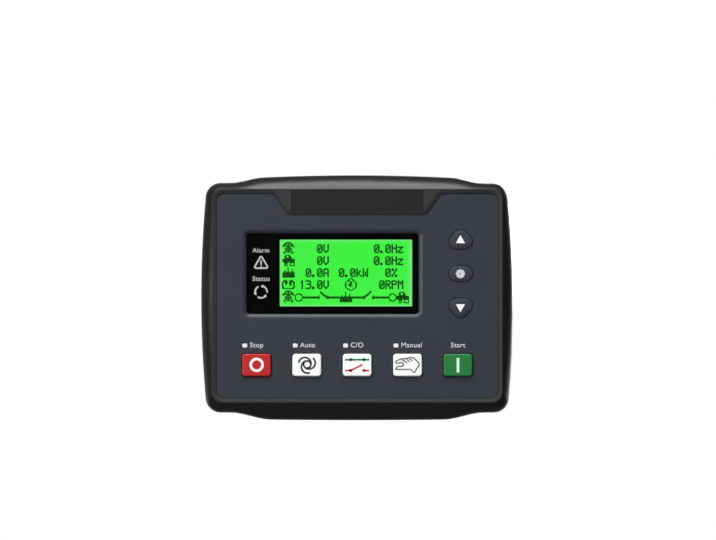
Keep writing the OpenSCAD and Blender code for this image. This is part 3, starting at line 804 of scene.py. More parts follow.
@dataclass(frozen=True)
class LitGlass(Finish):
    """The lit liquid crystal glass: green, paler towards its edges, with a fine grid between its dots."""

    colour: Colour
    edge: Colour
    middle: Point
    size: Point
    dots: tuple[int, int]
    unlit: Colour = (10, 42, 12)
    strength: float = 1.0
    edge_span: Point = (0.9, 1.0)
    edge_share: float = 0.85
    cloud_scale: float = 60.0
    cloud_share: float = 0.2
    grid_start: float = 0.93
    grid_share: float = 0.18
    grid_tone: float = 0.5
    roughness: float = 0.35
    spread: float = 0.1

    def lay(self, graph: Graph, shader: Node, spot: Socket) -> None:
        """Set the shader up as a lit glass.

        Args:
            graph: The material's graph.
            shader: Its main shader.
            spot: The Object coordinates.
        """
        half = [s / 2 * MM for s in self.size]
        centred = graph.add("Mapping", {
            "Vector": spot, "Scale": (1 / half[0], 1.0, 1 / half[1]),
            "Location": (-self.middle[0] * MM / half[0], 0.0, -self.middle[1] * MM / half[1])})
        axes = graph.add("SeparateXYZ", {0: centred.outputs[0]}).outputs
        out = graph.math("MAXIMUM", graph.math("ABSOLUTE", axes[0]), graph.math("ABSOLUTE", axes[2]))
        near_edge = graph.ramp(out, self.edge_span, high=self.edge_share, ease=Ease.SOFT)
        cloud = graph.noise(spot, self.cloud_scale)
        pale = graph.math("ADD", near_edge, graph.math("MULTIPLY", cloud, self.cloud_share))
        glow = graph.blend(pale, linear(self.colour), linear(self.edge))
        lines = []
        for axis, count in ((0, self.dots[0]), (2, self.dots[1])):
            step = graph.math("FRACT", graph.math("MULTIPLY", axes[axis], count / 2))
            lines.append(graph.math("GREATER_THAN", step, self.grid_start))
        grid = graph.math("MULTIPLY", graph.math("MAXIMUM", *lines), self.grid_share)
        dark = tuple(c * self.grid_tone for c in linear(self.colour)[:3]) + (1.0,)
        graph.feed(shader, {"Emission Color": graph.blend(grid, glow, dark),
                            "Emission Strength": self.strength, "Base Color": linear(self.unlit),
                            "Roughness": graph.math("MULTIPLY_ADD", cloud, self.spread, self.roughness)})


@dataclass(frozen=True)
class Foam(Finish):
    """Closed-cell foam of the panel seal."""

    colour: Colour
    cell: float = 0.5
    contrast: int = 24
    roughness: float = 0.8
    spread: float = 0.15
    depth: float = 60.0
    relief: float = 0.8

    def lay(self, graph: Graph, shader: Node, spot: Socket) -> None:
        """Set the shader up with cells in colour and height.

        Args:
            graph: The material's graph.
            shader: Its main shader.
            spot: The Object coordinates.
        """
        cells = graph.add("TexVoronoi", {"Vector": spot, "Scale": 1 / (self.cell * MM)}).outputs["Distance"]
        tone = graph.blend(cells, linear(self.colour), linear(lighter(self.colour, self.contrast)))
        graph.feed(shader, {"Base Color": tone, "Normal": graph.bump(cells, self.depth, self.relief),
                            "Roughness": graph.math("MULTIPLY_ADD", cells, self.spread, self.roughness)})


@dataclass(frozen=True)
class CircuitBoard(Finish):
    """Green solder mask over copper tracks, given by their length, pitch and width."""

    mask: Colour
    track: Colour
    track_size: tuple[float, float, float] = (9.0, 1.3, 0.12)
    grain_scale: float = 900.0
    roughness: float = 0.3
    spread: float = 0.15
    depth: float = 30.0
    relief: float = 0.4

    def lay(self, graph: Graph, shader: Node, spot: Socket) -> None:
        """Set the shader up with tracks that show through the mask.

        Args:
            graph: The material's graph.
            shader: Its main shader.
            spot: The Object coordinates.
        """
        flat = graph.add("Mapping", {"Vector": spot, "Rotation": FACING_VIEWER}).outputs[0]
        length, pitch, width = (size * MM for size in self.track_size)
        tracks = graph.add("TexBrick", {
            "Vector": flat, "Scale": 1.0, "Brick Width": length, "Row Height": pitch, "Mortar Size": width,
            "Mortar": WHITE, "Color1": (0.0, 0.0, 0.0, 1.0), "Color2": (0.25, 0.25, 0.25, 1.0)}).outputs[0]
        grain = graph.noise(spot, self.grain_scale)
        graph.feed(shader, {"Base Color": graph.blend(tracks, linear(self.mask), linear(self.track)),
                            "Normal": graph.bump(tracks, self.depth, self.relief),
                            "Roughness": graph.math("MULTIPLY_ADD", grain, self.spread, self.roughness)})


@dataclass(frozen=True)
class PaleFloor(Finish):
    """Plain floor that the camera sees pale, with the part's shadow on it.

    The lift is added for the camera, and for glass and gloss on the far side from one Y to another.
    From below, the camera looks through the floor.
    """

    colour: Colour
    contrast: int = 8
    grain_scale: float = 500.0
    roughness: float = 0.8
    specular: float = 0.1
    lift: float = 0.8
    far: Point = (0.3, 0.6)

    def lay(self, graph: Graph, shader: Node, spot: Socket) -> None:
        """Set the shader up with a fine grain and the lift.

        Args:
            graph: The material's graph.
            shader: Its main shader.
            spot: The Object coordinates.
        """
        behind = graph.ramp(graph.add("SeparateXYZ", {0: spot}).outputs[1], self.far)
        grain = graph.noise(spot, self.grain_scale)
        from_camera = graph.add("LightPath").outputs["Is Camera Ray"]
        below = graph.math("MULTIPLY", from_camera, graph.add("NewGeometry").outputs["Backfacing"])
        tone = graph.blend(grain, linear(self.colour), linear(lighter(self.colour, self.contrast)))
        graph.feed(shader, {"Base Color": tone, "Roughness": self.roughness,
                            "Specular IOR Level": self.specular, "Emission Color": WHITE,
                            "Emission Strength": graph.math("MULTIPLY", graph.seen(behind), self.lift),
                            "Alpha": graph.math("SUBTRACT", 1.0, below)})


CASE = FrontPlastic("case_black", (23, 23, 24), roughness=0.36, specular=0.44, grain=0.22, depth=8)
FILM = Plastic("film_black", (34, 34, 35), roughness=0.6, specular=0.15, grain=0.14, depth=3, mottling=0.06)
BODY = Plastic("body_black", (36, 36, 38), roughness=0.52, specular=0.4, grain=0.4, depth=22)
FACE = Plastic("face_slate", (52, 55, 63), roughness=0.42, grain=0.16, depth=6, mottling=0.06)
# The nav keys' slate is a little lighter than the panel's slate: painted light that offsets the shade on
# their domes
KEY_SLATE_PAINTED_LIGHTER = Plastic("key_slate_painted_lighter", (57, 60, 68), roughness=0.7, specular=0.12, grain=0.16, depth=5,
                    mottling=0.06)
KEY_RED = KeyCap("key_red", (184, 40, 43))
KEY_WHITE = KeyCap("key_white", (249, 250, 249), mottling=0.03)
KEY_GREEN = KeyCap("key_green", (39, 121, 61))
LAMP = Plastic("lamp_lens", (226, 227, 230), roughness=0.4, grain=0.3, depth=1, mottling=0.02, glow=0.08)
GUIDE = Plastic("light_guide", (196, 198, 196), roughness=0.3, grain=0.3, depth=2, mottling=0.04)
MASK = Plastic("mask_print", (2, 2, 3), specular=0.05, grain=0.12, depth=1, mottling=0.2)
INK_LIGHT = Ink("ink_light", (244, 245, 247), roughness=0.55, mottling=0.04)
INK_LABEL = Ink("ink_label", (204, 206, 210), roughness=0.55, mottling=0.06)
# The printed words and marks behind the window glow a little: painted light, standing in for the light that
# reaches them through the window
INK_PAINTED_LIGHT = Ink("ink_painted_light", (196, 197, 199), roughness=0.55, glow=0.45)
INK_DARK = Ink("ink_dark", (52, 52, 54))
INK_GREY = Ink("ink_grey", (108, 108, 110))
INK_GREEN = Ink("ink_green", (40, 122, 84))
INK_RED = Ink("ink_red", (198, 48, 58))
INK_CREAM = Ink("ink_cream", (248, 238, 230), mottling=0.04)
INK_MINT = Ink("ink_mint", (220, 250, 230), mottling=0.04)
DOT = Plastic("display_dots", (2, 46, 4), roughness=0.4, specular=0.05, grain=0.1, depth=1, mottling=0.2,
              glow=0.2)
FRAME_BLACK = Plastic("frame_black", (26, 26, 28), roughness=0.45)
BACKLIGHT = Plastic("backlight_white", (224, 238, 220), roughness=0.4)
SWITCH = Plastic("switch_black", (44, 44, 46))
CHIP = Plastic("chip_black", (34, 34, 36), roughness=0.6, grain=0.12)
TERMINAL = Plastic("terminal_green", (34, 128, 70), roughness=0.42, specular=0.45, grain=0.3, depth=8)
RELAY = Plastic("relay_amber", (226, 148, 34), roughness=0.4)
CAPACITOR = Plastic("capacitor_blue", (30, 44, 100), roughness=0.3, coat=0.4)
CLIP = Plastic("clip_grey", (62, 63, 67), specular=0.4, grain=0.35, depth=18)
ZINC = Metal("zinc_steel", (198, 200, 204))
WINDOW = Acrylic("window_acrylic")
SEAL = Foam("seal_foam", (24, 24, 26))
FLOOR = PaleFloor("floor_pale", (84, 84, 83))
BOARD = CircuitBoard("board_green", (22, 84, 48), (58, 128, 78))

Mark = list[tuple[Object, Finish]]


def enter(piece: Object, body: str, slot: str, finish: Finish, *nodes: str) -> None:
    """Dress a finished piece, put it on its body and report it.

    Args:
        piece: The piece, with its place in its mesh.
        body: The body that it moves with.
        slot: The record's material slot; not used.
        finish: Its finish.
        *nodes: The CAD nodes that it stands for.
    """
    piece.data.materials.clear()
    piece.data.materials.append(finish.material())
    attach(piece, body)
    if nodes:
        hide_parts(*nodes)
    LOG.info("%s: %d faces, %s, on %s", piece.name, len(piece.data.polygons), finish.name, body)


def remake(node: str, name: str, slot: str, finish: Finish, edge: float, flat: float = PLAIN_FLAT) -> None:
    """Stand a piece with softened edges in for a CAD node of the housing.

    Args:
        node: The CAD node.
        name: The new piece's name.
        slot: The record's material slot, handed on to enter.
        finish: Its finish.
        edge: The width of its edges' rounding.
        flat: Faces closer to level than this angle in degrees become one face.
    """
    piece = copy_node(node, name, flat)
    soften(piece, edge)
    enter(piece, HOUSING, slot, finish, node)


def dress(node: str, finish: Finish) -> None:
    """Give a CAD node that stays in view its finish.

    Args:
        node: The CAD node.
        finish: Its finish.
    """
    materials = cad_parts[node].data.materials
    materials.clear()
    materials.append(finish.material())
    LOG.info("%s: kept, %s", node, finish.name)


# Front


@dataclass
class FrontCase:
    """The moulded bezel, with its arched edges, shoulders and brow."""

    edge: float = 0.18
    recess_half: float = 30.5
    recess_span: Point = (39.8, 49.5)
    recess_floor: float = -11.7
    film: float = 0.1
    film_in: float = 0.12
    film_lift: float = 0.01

    def build(self) -> None:
        """Copy the bezel, soften its edges and lay the bare film in the brow."""
        piece = copy_node("front_case", "bezel")
        soften(piece, self.edge, limit=48, angle=18)
        enter(piece, HOUSING, "case", CASE, "front_case")
        low, high = (self.recess_span[0] + self.film_in, self.recess_span[1] - self.film_in)
        half = self.recess_half - self.film_in
        film = plate("brow_film", [(-half, low), (half, low), (half, high), (-half, high)],
                     Layer(self.recess_floor - self.film_lift, self.film))
        soften(film, self.film / 3)
        enter(film, HOUSING, "case", FILM)


@dataclass(frozen=True)
class Lettering:
    """Printed words in the plain built-in face, thickened a little."""

    ink: float = 0.03
    cap_share: float = 0.72
    weight: float = 0.012
    spacing: float = 1.08
    weld: float = 0.004

    def word(self, name: str, text: str, cap: float, at: Point, y: float, align: Align) -> Object:
        """Print a word that faces the viewer.

        Args:
            name: The new object's name.
            text: The word.
            cap: The height of its capitals.
            at: Where its base line starts or has its middle.
            y: The surface that it is printed on, along Y.
            align: How it lies about that point.

        Returns:
            The word as a mesh.
        """
        deselect()
        bpy.ops.object.text_add()
        piece = bpy.context.object
        piece.name = name
        letters = piece.data
        letters.body = text
        letters.align_x = align.value
        letters.size = cap / self.cap_share * MM
        letters.offset = self.weight * letters.size
        letters.space_character = self.spacing
        letters.resolution_u = 4
        letters.extrude = self.ink * MM
        bpy.ops.object.convert(target="MESH")
        with editing(piece):
            bpy.ops.mesh.select_all(action="SELECT")
            bpy.ops.mesh.remove_doubles(threshold=self.weld * MM)
            bpy.ops.mesh.normals_make_consistent(inside=False)
        piece.rotation_euler = FACING_VIEWER
        piece.location = (at[0] * MM, y * MM, at[1] * MM)
        settle(piece)
        return piece


LABELS = {"stop": "Stop", "auto": "Auto", "changeover": "C/O", "manual": "Manual", "start": "Start"}


@dataclass
class FacePanel:
    """The slate inlay with its window opening, key labels and lamps."""

    front: float = -11.1
    edge: float = 0.06
    lamp_edge: float = 0.2
    label_cap: float = 2.3
    label_base: float = -22.8
    label_gap: float = 0.4
    pitch: float = 23.2
    lettering: Lettering = Lettering()

    def build(self) -> None:
        """Copy the panel and the lamps, and print the labels."""
        remake("face_panel", "face_inlay", "face", FACE, self.edge)
        for index, (key, text) in enumerate(LABELS.items()):
            x, align = (index - len(LABELS) // 2) * self.pitch, Align.CENTRE
            if key != "start":
                lamp = f"{key}_lamp"
                remake(lamp, f"{lamp}_lens", "lamp", LAMP, self.lamp_edge)
                x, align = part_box(lamp)[1].x / MM + self.label_gap, Align.LEFT
            label = self.lettering.word(
                f"{key}_label", text, self.label_cap, (x, self.label_base), self.front, align)
            enter(label, HOUSING, "face", INK_LABEL)


@dataclass
class Key:
    """One push key with its mark, whose points lie about the key's middle."""

    name: str
    slot: str
    finish: Finish
    symbol: Symbol
    shift: float = 0.0
    edge: float = 0.05
    sink: float = 0.06
    ink: float = 0.04
    hair: float = 0.01
    node: str = field(init=False)
    top: float = field(init=False)
    middle: Point = field(init=False)
    layer: Layer = field(init=False)

    def __post_init__(self) -> None:
        """Find the key's top and where its mark lies."""
        self.node = f"{self.name}_key"
        low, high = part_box(self.node)
        self.top = low.y
        self.middle = ((low.x + high.x) / 2 / MM + self.shift, (low.z + high.z) / 2 / MM)
        self.layer = Layer(self.top / MM + self.sink + self.hair, self.ink)

    def build(self) -> None:
        """Copy the key, set its top a hair lower for the print, and print its mark."""
        body = f"{self.name}_button"
        cap = copy_node(self.node, f"{self.node}_cap", ROUND_FLAT)
        pick_faces(cap, lambda face: face.normal.y < SQUARE_ON and face.center.y < self.top + self.hair * MM)
        with editing(cap):
            bpy.ops.transform.translate(value=(0, self.sink * MM, 0))
        soften(cap, self.edge, limit=55, angle=50)
        enter(cap, body, self.slot, self.finish, self.node)
        for piece, finish in getattr(self, self.symbol.value)():
            enter(piece, body, self.slot, finish)

    def line(self, name: str, path: Sequence[Point], width: float, closed: bool = False) -> Object:
        """Draw one line of the mark."""
        return stroke(f"{self.node}_{name}", moved(path, self.middle), width, self.layer, closed)

    def patch(self, name: str, outline: Sequence[Point]) -> Object:
        """Draw one filled shape of the mark."""
        return plate(f"{self.node}_{name}", moved(outline, self.middle), self.layer)

    def ring(self) -> Mark:
        """Draw the stop ring."""
        middle, radius, width = (0.1, 0.15), 2.7, 1.25
        return [(self.line("ring", circle(middle, radius, 48), width, True), INK_CREAM)]

    def swirl(self) -> Mark:
        """Draw three arms, each a half circle, that wind into a small ring.

        Returns:
            The mark's pieces, each with its ink.
        """
        hub, hub_radius, reach, radius, width = (0.15, 0.3), 1.66, 1.15, 2.85, 0.82
        arms = [self.line("hub", circle(hub, hub_radius, 40), width, True)]
        for turn in (160, 40, -80):
            path = arc(point_at(hub, reach, turn), radius, turn + 12, turn - 172, 28)
            arms.append(self.line("arm", path, width))
        return [(join(f"{self.node}_swirl", arms), INK_DARK)]

    def switches(self) -> Mark:
        """Draw a closed switch over an open one.

        Returns:
            The mark's pieces, each with its ink.
        """
        width, dot, blade_end = 0.78, 0.8, (2.3, 0.2)
        marks = []
        for name, level, finish in (("closed", 2.5, INK_GREEN), ("open", -2.46, INK_RED)):
            start, left, right, end = ((x, level) for x in (-5.7, -3.0, 3.1, 5.5))
            lines = [(start, end)] if name == "closed" else [(start, left), (right, end), (left, blade_end)]
            parts = [self.line(name, line, width) for line in lines]
            parts += [self.patch(name, circle(middle, dot, 8)) for middle in (left, right)]
            marks.append((join(f"{self.node}_{name}_switch", parts), finish))
        return marks

    def hand(self) -> Mark:
        """Draw an open hand in outline, with three finger lines.

        Returns:
            The mark's pieces, each with its ink.
        """
        outline = [(-5.45, 1.45), (-5.0, 1.98), (-3.75, 2.56), (-2.0, 2.94), (-0.5, 3.04), (0.9, 3.42),
                   (2.2, 3.46), (3.2, 2.94), (4.1, 1.98), (5.05, 1.1), (5.3, 0.15), (4.85, -0.8), (4.1, -1.6),
                   (3.7, -2.6), (3.2, -3.3), (2.6, -3.15), (1.5, -2.05), (-0.5, -1.98), (-5.0, -1.96),
                   (-5.25, -1.5), (-4.4, -0.62), (-2.5, -0.5), (-1.85, 0.15), (-2.2, 0.92), (-3.2, 1.22),
                   (-4.3, 0.92), (-5.1, 0.95)]
        fingers = (((-2.5, 2.5), (-0.2, 0.95)), ((-0.6, 2.75), (1.0, 1.5)), ((0.8, 2.95), (2.3, 2.0)))
        edge_width, finger_width = 0.58, 0.6
        parts = [self.line("hand", curve_round(outline, 3)[::-1], edge_width, True)]
        parts += [self.line("finger", finger, finger_width) for finger in fingers]
        return [(join(f"{self.node}_hand", parts), INK_GREY)]

    def bar(self) -> Mark:
        """Draw the start bar."""
        x, z = 0.62, 3.3
        return [(self.patch("bar", [(x, -z), (x, z), (-x, z), (-x, -z)]), INK_MINT)]

    def arrow_up(self) -> Mark:
        """Draw an upward triangle."""
        return self.arrow(1)

    def arrow_down(self) -> Mark:
        """Draw a downward triangle."""
        return self.arrow(-1)

    def arrow(self, way: int) -> Mark:
        """Draw a triangle, upward for 1 and downward for -1."""
        outline = [(way * x, way * z) for x, z in ((-2.1, -1.75), (2.1, -1.75), (0.0, 1.95))]
        return [(self.patch("arrow", outline), INK_LIGHT)]

    def gear(self) -> Mark:
        """Draw a gear with short teeth and a small hole.

        Returns:
            The mark's pieces, each with its ink.
        """
        teeth, hole = 8, 0.3
        outer, inner = [], []
        for tooth in range(teeth):
            for share, radius in ((-0.42, 1.88), (-0.16, 2.15), (0.16, 2.15), (0.42, 1.88)):
                angle = 360 / teeth * (tooth + share)
                outer.append(point_at((0.0, 0.0), radius, angle))
                inner.append(point_at((0.0, 0.0), hole, angle))
        outer, inner = (moved(path, self.middle) for path in (outer, inner))
        return [(band(f"{self.node}_gear", outer, inner, self.layer), INK_LABEL)]


# Display

GLYPHS = {
    "0": ".###./#...#/#..##/#.#.#/#.#.#/##..#/#...#/.###.",
    "1": "..#../.##../..#../..#../..#../..#../..#../..#..",
    "3": "####./....#/....#/.###./....#/....#/....#/####.",
    ".": "..../..../..../..../..../..../##../##..",
    "V": "#...#/#...#/#...#/#...#/#...#/#...#/.#.#./..#..",
    "H": "#...#/#...#/#...#/#####/#...#/#...#/#...#/#...#",
    "z": "...../...../#####/...#./..#../.#.../#..../#####",
    "A": ".###./#...#/#...#/#...#/#####/#...#/#...#/#...#",
    "k": "#..../#..../#..#./#.#../##.../#.#../#..#./#...#",
    "W": "#...#/#...#/#...#/#.#.#/#.#.#/#.#.#/##.##/#...#",
    "%": "##..#/##..#/...#./..#../..#../.#.../#..##/#..##",
    "R": "####./#...#/#...#/####./#.#../#..#./#...#/#...#",
    "P": "####./#...#/#...#/####./#..../#..../#..../#....",
    "M": "#...#/##.##/#.#.#/#.#.#/#...#/#...#/#...#/#...#",
}
ICONS = {
    "pylon": "...#####.../..##.#.##../.##..#..##./###########/#...###...#/...#.#.#.../..#######../"
             "...#.#.#.../..##.#.##../.#..###..#./.##.....##.",
    "engine": "...####...../..##..##..../..##..###.../..#######.../############/############/############/"
              ".#####.#####/..###..#...#/..#.#..#...#/..###..#####",
    "works": ".....#....../.....#....../.....#...#../..#..#...#../.##.###.###./############/############/"
             "############/############/############",
    "battery": "..##....##../.####..####./##.##..##.##/#..##..##..#/#..#...##..#/#.......#..#/#..........#/"
               "##........##/.##########.",
    "clock": "....###..../...#...#.../..##...##../.#..##...#./#....##...#/#...##....#/#..###....#/"
             "#...###...#/#.........#/.#.......#./..##...##../....###....",
    "contact": ".#/##/##/.#",
}
# The running page: each sign with its column, row and weight, and each row's figures with their last column
PAGE_SIGNS = (
    ("pylon", 3, 2.5, Weight.WIDE), ("engine", 2.5, 14.5, Weight.PLAIN), ("works", 2.5, 26.5, Weight.PLAIN),
    ("battery", 2.5, 38.5, Weight.WIDE), ("pylon", 3, 49, Weight.WIDE), ("clock", 63.5, 37, Weight.WIDE),
    ("works", 58, 50, Weight.PLAIN), ("engine", 113, 50, Weight.PLAIN),
)
PAGE_FIGURES = {
    5: {"0V": 49, "0.0Hz": 121},
    16.5: {"0V": 49, "0.0Hz": 121},
    28: {"0.0A": 49, "0.0kW": 87, "0%": 115},
    39.5: {"13.0V": 49, "0RPM": 121},
}


@dataclass
class DotScreen:
    """The dot matrix of the display: which half dots are dark, and their mesh."""

    columns: int = 128
    rows: int = 64
    gap: int = 1
    inset: float = 0.004
    dark: set[tuple[int, int]] = field(default_factory=set)

    def dot(self, column: float, row: float, weight: Weight = Weight.PLAIN) -> None:
        """Darken one dot, whose corner may lie on a half dot."""
        along, down = round(2 * column), round(2 * row)
        self.dark.update((along + a, down + d) for a in weight.value[0] for d in weight.value[1])

    def stamp(self, pattern: str, column: float, row: float, weight: Weight = Weight.PLAIN) -> None:
        """Set the dots of a pattern whose rows are parted by strokes.

        Args:
            pattern: The rows, with a hash for a dark dot.
            column: The column that it starts at.
            row: The row that it starts at.
            weight: How wide each dot is.
        """
        for down, line in enumerate(pattern.split("/")):
            for along, mark in enumerate(line):
                if mark == "#":
                    self.dot(column + along, row + down, weight)

    def write(self, text: str, end: int, row: float) -> None:
        """Write text in bold that ends just before a column.

        Args:
            text: The text.
            end: The column.
            row: The row of its top.
        """
        for letter in reversed(text):
            end -= GLYPHS[letter].index("/") + self.gap
            self.stamp(GLYPHS[letter], end, row, Weight.BOLD)

    def draw(self, start: Point, end: Point) -> None:
        """Draw a straight line that is two dots thick.

        Args:
            start: Its first column and row.
            end: Its last column and row.
        """
        steps = math.ceil(2 * max(abs(end[0] - start[0]), abs(end[1] - start[1])))
        for step in range(steps + 1):
            column, row = (a + (b - a) * step / steps for a, b in zip(start, end))
            self.dot(column, row)
            self.dot(column, row + 1)

    def ring(self, middle: Point, radius: float) -> None:
        """Draw a ring about a middle, as wide as a dot."""
        for column, row in circle(middle, radius, 64):
            self.dot(column - 0.5, row - 0.5)

    def mesh(self, name: str, middle: Point, size: Point, layer: Layer) -> Object:
        """Cut the dark dots out of a fine grid.

        Args:
            name: The new object's name.
            middle: The matrix's middle in X and Z.
            size: Its width and height.
            layer: Where the dots lie.

        Returns:
            The dots as one mesh.
        """
        deselect()
        bpy.ops.mesh.primitive_grid_add(x_subdivisions=2 * self.columns, y_subdivisions=2 * self.rows, size=2)
        piece = bpy.context.object
        piece.name = name
        pick_faces(piece, lambda face: (int((1 + face.center.x) * self.columns),
                                        int((1 - face.center.y) * self.rows)) not in self.dark)
        with editing(piece):
            bpy.ops.mesh.delete(type="FACE")
        piece.scale = (size[0] / 2 * MM, size[1] / 2 * MM, 1.0)
        piece.rotation_euler = FACING_VIEWER
        piece.location = (middle[0] * MM, layer.back * MM, middle[1] * MM)
        settle(piece)
        with editing(piece):
            bpy.ops.mesh.select_all(action="SELECT")
            bpy.ops.mesh.edge_split(type="EDGE")
            bpy.ops.mesh.inset(thickness=self.inset * MM, use_individual=True, use_boundary=True)
            bpy.ops.mesh.select_all(action="INVERT")
            bpy.ops.mesh.delete(type="FACE")
        thicken(piece, layer.thickness)
        return piece


@dataclass
class Display:
    """The window with its black print and lights, and the lit display behind it."""

    view: Point = (61.0, 30.75)
    view_middle: Point = (-5.2, 11.425)
    glow: Colour = (52, 247, 54)
    edge_glow: Colour = (118, 240, 122)
    dots: Layer = Layer(-6.4, 0.02)
    print_layer: Layer = Layer(-8.6, 0.06)
    mark_x: float = -44.3
    mark_line: float = 0.74

    def build(self) -> None:
        """Build the window, the printed marks and the lit display."""
        window = copy_node("display_window", "window_pane")
        smooth(window)
        enter(window, HOUSING, "window", WINDOW, "display_window")
        screen = self.page()
        glass = LitGlass("lit_glass", self.glow, self.edge_glow, self.view_middle, self.view,
                         (screen.columns, screen.rows))
        for node, finish in (("window_mask", MASK), ("display_frame", FRAME_BLACK),
                             ("display_backlight", BACKLIGHT), ("display_glass", glass),
                             ("alarm_light_guide", GUIDE), ("status_light_guide", GUIDE)):
            dress(node, finish)
        figures = screen.mesh("display_figures", self.view_middle, self.view, self.dots)
        enter(figures, HOUSING, "display", DOT)
        for name, parts in (("window_words", self.words()), ("alarm_mark", self.alarm()),
                            ("status_mark", self.status())):
            # The words and marks behind the window get the ink with a glow of painted light
            enter(join(name, parts), HOUSING, "mask", INK_PAINTED_LIGHT)

    def page(self) -> DotScreen:
        """Set the dots of the running page.

        Returns:
            The screen.
        """
        dots = DotScreen()
        for sign, column, row, weight in PAGE_SIGNS:
            dots.stamp(ICONS[sign], column, row, weight)
        for row, words in PAGE_FIGURES.items():
            for word, end in words.items():
                dots.write(word, end, row)
        self.diagram(dots)
        return dots

    def diagram(self, dots: DotScreen) -> None:
        """Draw the one-line diagram from the mains over two open switches to the engine.

        Args:
            dots: The screen that it is drawn on.
        """
        level, radius = 54.5, 3.5
        for column in (18.4, 109.1):
            dots.ring((column, level + 1), radius)
        for left, right in ((22.5, 37.5), (45, 57), (70, 81.5), (89, 104)):
            dots.draw((left, level), (right, level))
        for column in (36.5, 45, 80.5, 89):
            dots.stamp(ICONS["contact"], column, level - 1)
        dots.draw((39, level - 5), (45, level))
        dots.draw((81.5, level), (87.5, level - 5.5))

    def words(self) -> list[Object]:
        """Print the words over the two marks behind the window.

        Returns:
            The words.
        """
        lettering, y = Lettering(), self.print_layer.back
        return [lettering.word(f"{text.lower()}_word", text, cap, (self.mark_x, base), y, Align.CENTRE)
                for text, cap, base in (("Alarm", 2.15, 20.9), ("Status", 2.2, 7.8))]

    def alarm(self) -> list[Object]:
        """Draw a round-cornered triangle about an exclamation mark.

        Returns:
            The mark's pieces.
        """
        reach, corner, dot = 2.75, 0.55, 0.36
        middle, bar_top, bar_end, dot_middle = ((self.mark_x, z) for z in (15.6, 17.3, 15.2, 14.55))
        triangle = []
        for angle in (90, 210, 330):
            triangle += arc(point_at(middle, reach, angle), corner, angle - 60, angle + 60, 5)
        return [stroke("alarm_edge", triangle, self.mark_line, self.print_layer, True),
                stroke("alarm_bar", (bar_top, bar_end), self.mark_line, self.print_layer),
                plate("alarm_dot", circle(dot_middle, dot, 14), self.print_layer)]

    def status(self) -> list[Object]:
        """Draw three arrows that run round a circle.

        Returns:
            The mark's pieces.
        """
        middle, radius, head = (self.mark_x, 2.7), 2.75, (1.95, 3.55)
        parts = []
        for start in (-5, 115, 235):
            path = arc(middle, radius, start, start + 78, 14)
            tip = point_at(middle, radius, start + 100)
            sides = [point_at(middle, side, start + 76) for side in head]
            parts += [stroke("status_arc", path, self.mark_line, self.print_layer),
                      plate("status_head", [tip, *sides], self.print_layer)]
        return parts


# Rear


@dataclass
class RearCase:
    """The box behind the panel, its seal and its screws."""

    edge: float = 0.3
    screw_edge: float = 0.12
    recess_length: float = 3.2
    recess_width: float = 0.75
    recess_depth: float = 1.1

    def build(self) -> None:
        """Copy the case and the seal, and cut the drives into the case screws."""
        remake("rear_case", "rear_box", "case", BODY, self.edge)
        remake("panel_gasket", "panel_seal", "gasket", SEAL, self.edge)
        screws = copy_node("case_screws", "case_screw_heads", ROUND_FLAT)
        cutter = self.drives(screws)
        modify(screws, "BOOLEAN", object=cutter, operation="DIFFERENCE", solver="EXACT")
        bpy.data.objects.remove(cutter)
        soften(screws, self.screw_edge)
        enter(screws, HOUSING, "steel", ZINC, "case_screws")

    def drives(self, screws: Object) -> Object:
        """Make the blocks that cut a cross drive into each screw's rear end.

        Args:
            screws: The screws, one in each quarter of X and Z.

        Returns:
            All the blocks as one object.
        """
        end, side = self.recess_length / 2, self.recess_width / 2
        outline = [(side, -side), (end, -side), (end, side), (side, side), (side, end), (-side, end),
                   (-side, side), (-end, side), (-end, -side), (-side, -side), (-side, -end), (side, -end)]
        quarters: dict[tuple[bool, bool], list[Vector]] = {}
        for vertex in screws.data.vertices:
            quarters.setdefault((vertex.co.x > 0, vertex.co.z > 0), []).append(vertex.co)
        blocks = []
        for spots in quarters.values():
            low, high = (Vector(map(limit, zip(*spots))) for limit in (min, max))
            rear = Vector(((low.x + high.x) / 2, high.y, (low.z + high.z) / 2))
            layer = Layer(rear.y / MM + self.recess_depth, 2 * self.recess_depth)
            blocks.append(plate("cross", moved(outline, (rear.x / MM, rear.z / MM)), layer))
        return join("cross", blocks)


@dataclass
class Terminals:
    """The sockets on the main board, the plugs in them and their clamp screws."""

    edge: float = 0.18
    screw_edge: float = 0.1

    def build(self) -> None:
        """Copy the plugs and screws with softened edges, and dress the sockets."""
        for name in ("output", "input", "generator", "current", "mains"):
            remake(f"{name}_plug", f"{name}_plug_body", "terminal", TERMINAL, self.edge)
            dress(f"{name}_socket", TERMINAL)
        remake("terminal_screws", "terminal_screw_heads", "steel", ZINC, self.screw_edge, ROUND_FLAT)


@dataclass
class Clips:
    """The two side clips and their clamp screws."""

    edge: float = 0.35
    screw_edge: float = 0.2

    def build(self) -> None:
        """Copy the clips and screws with softened edges."""
        for side in ("left", "right"):
            remake(f"{side}_clip", f"{side}_clip_body", "clip", CLIP, self.edge)
        remake("clamp_screws", "clamp_screw_heads", "steel", ZINC, self.screw_edge, ROUND_FLAT)


@dataclass
class Inside:
    """The boards and the parts on them, which show only through the vents."""

    def build(self) -> None:
        """Dress each part that stays as the CAD made it."""
        for key in KEYS:
            dress(f"{key.name}_plunger", SWITCH)
        for node, finish in (("display_board", BOARD), ("main_board", BOARD), ("key_switches", SWITCH),
                             ("indicator_leds", GUIDE), ("processor_chip", CHIP), ("board_screws", ZINC),
                             ("main_board_screws", ZINC), ("board_link", SWITCH), ("relays", RELAY),
                             ("capacitors", CAPACITOR)):
            dress(node, finish)


# Studio


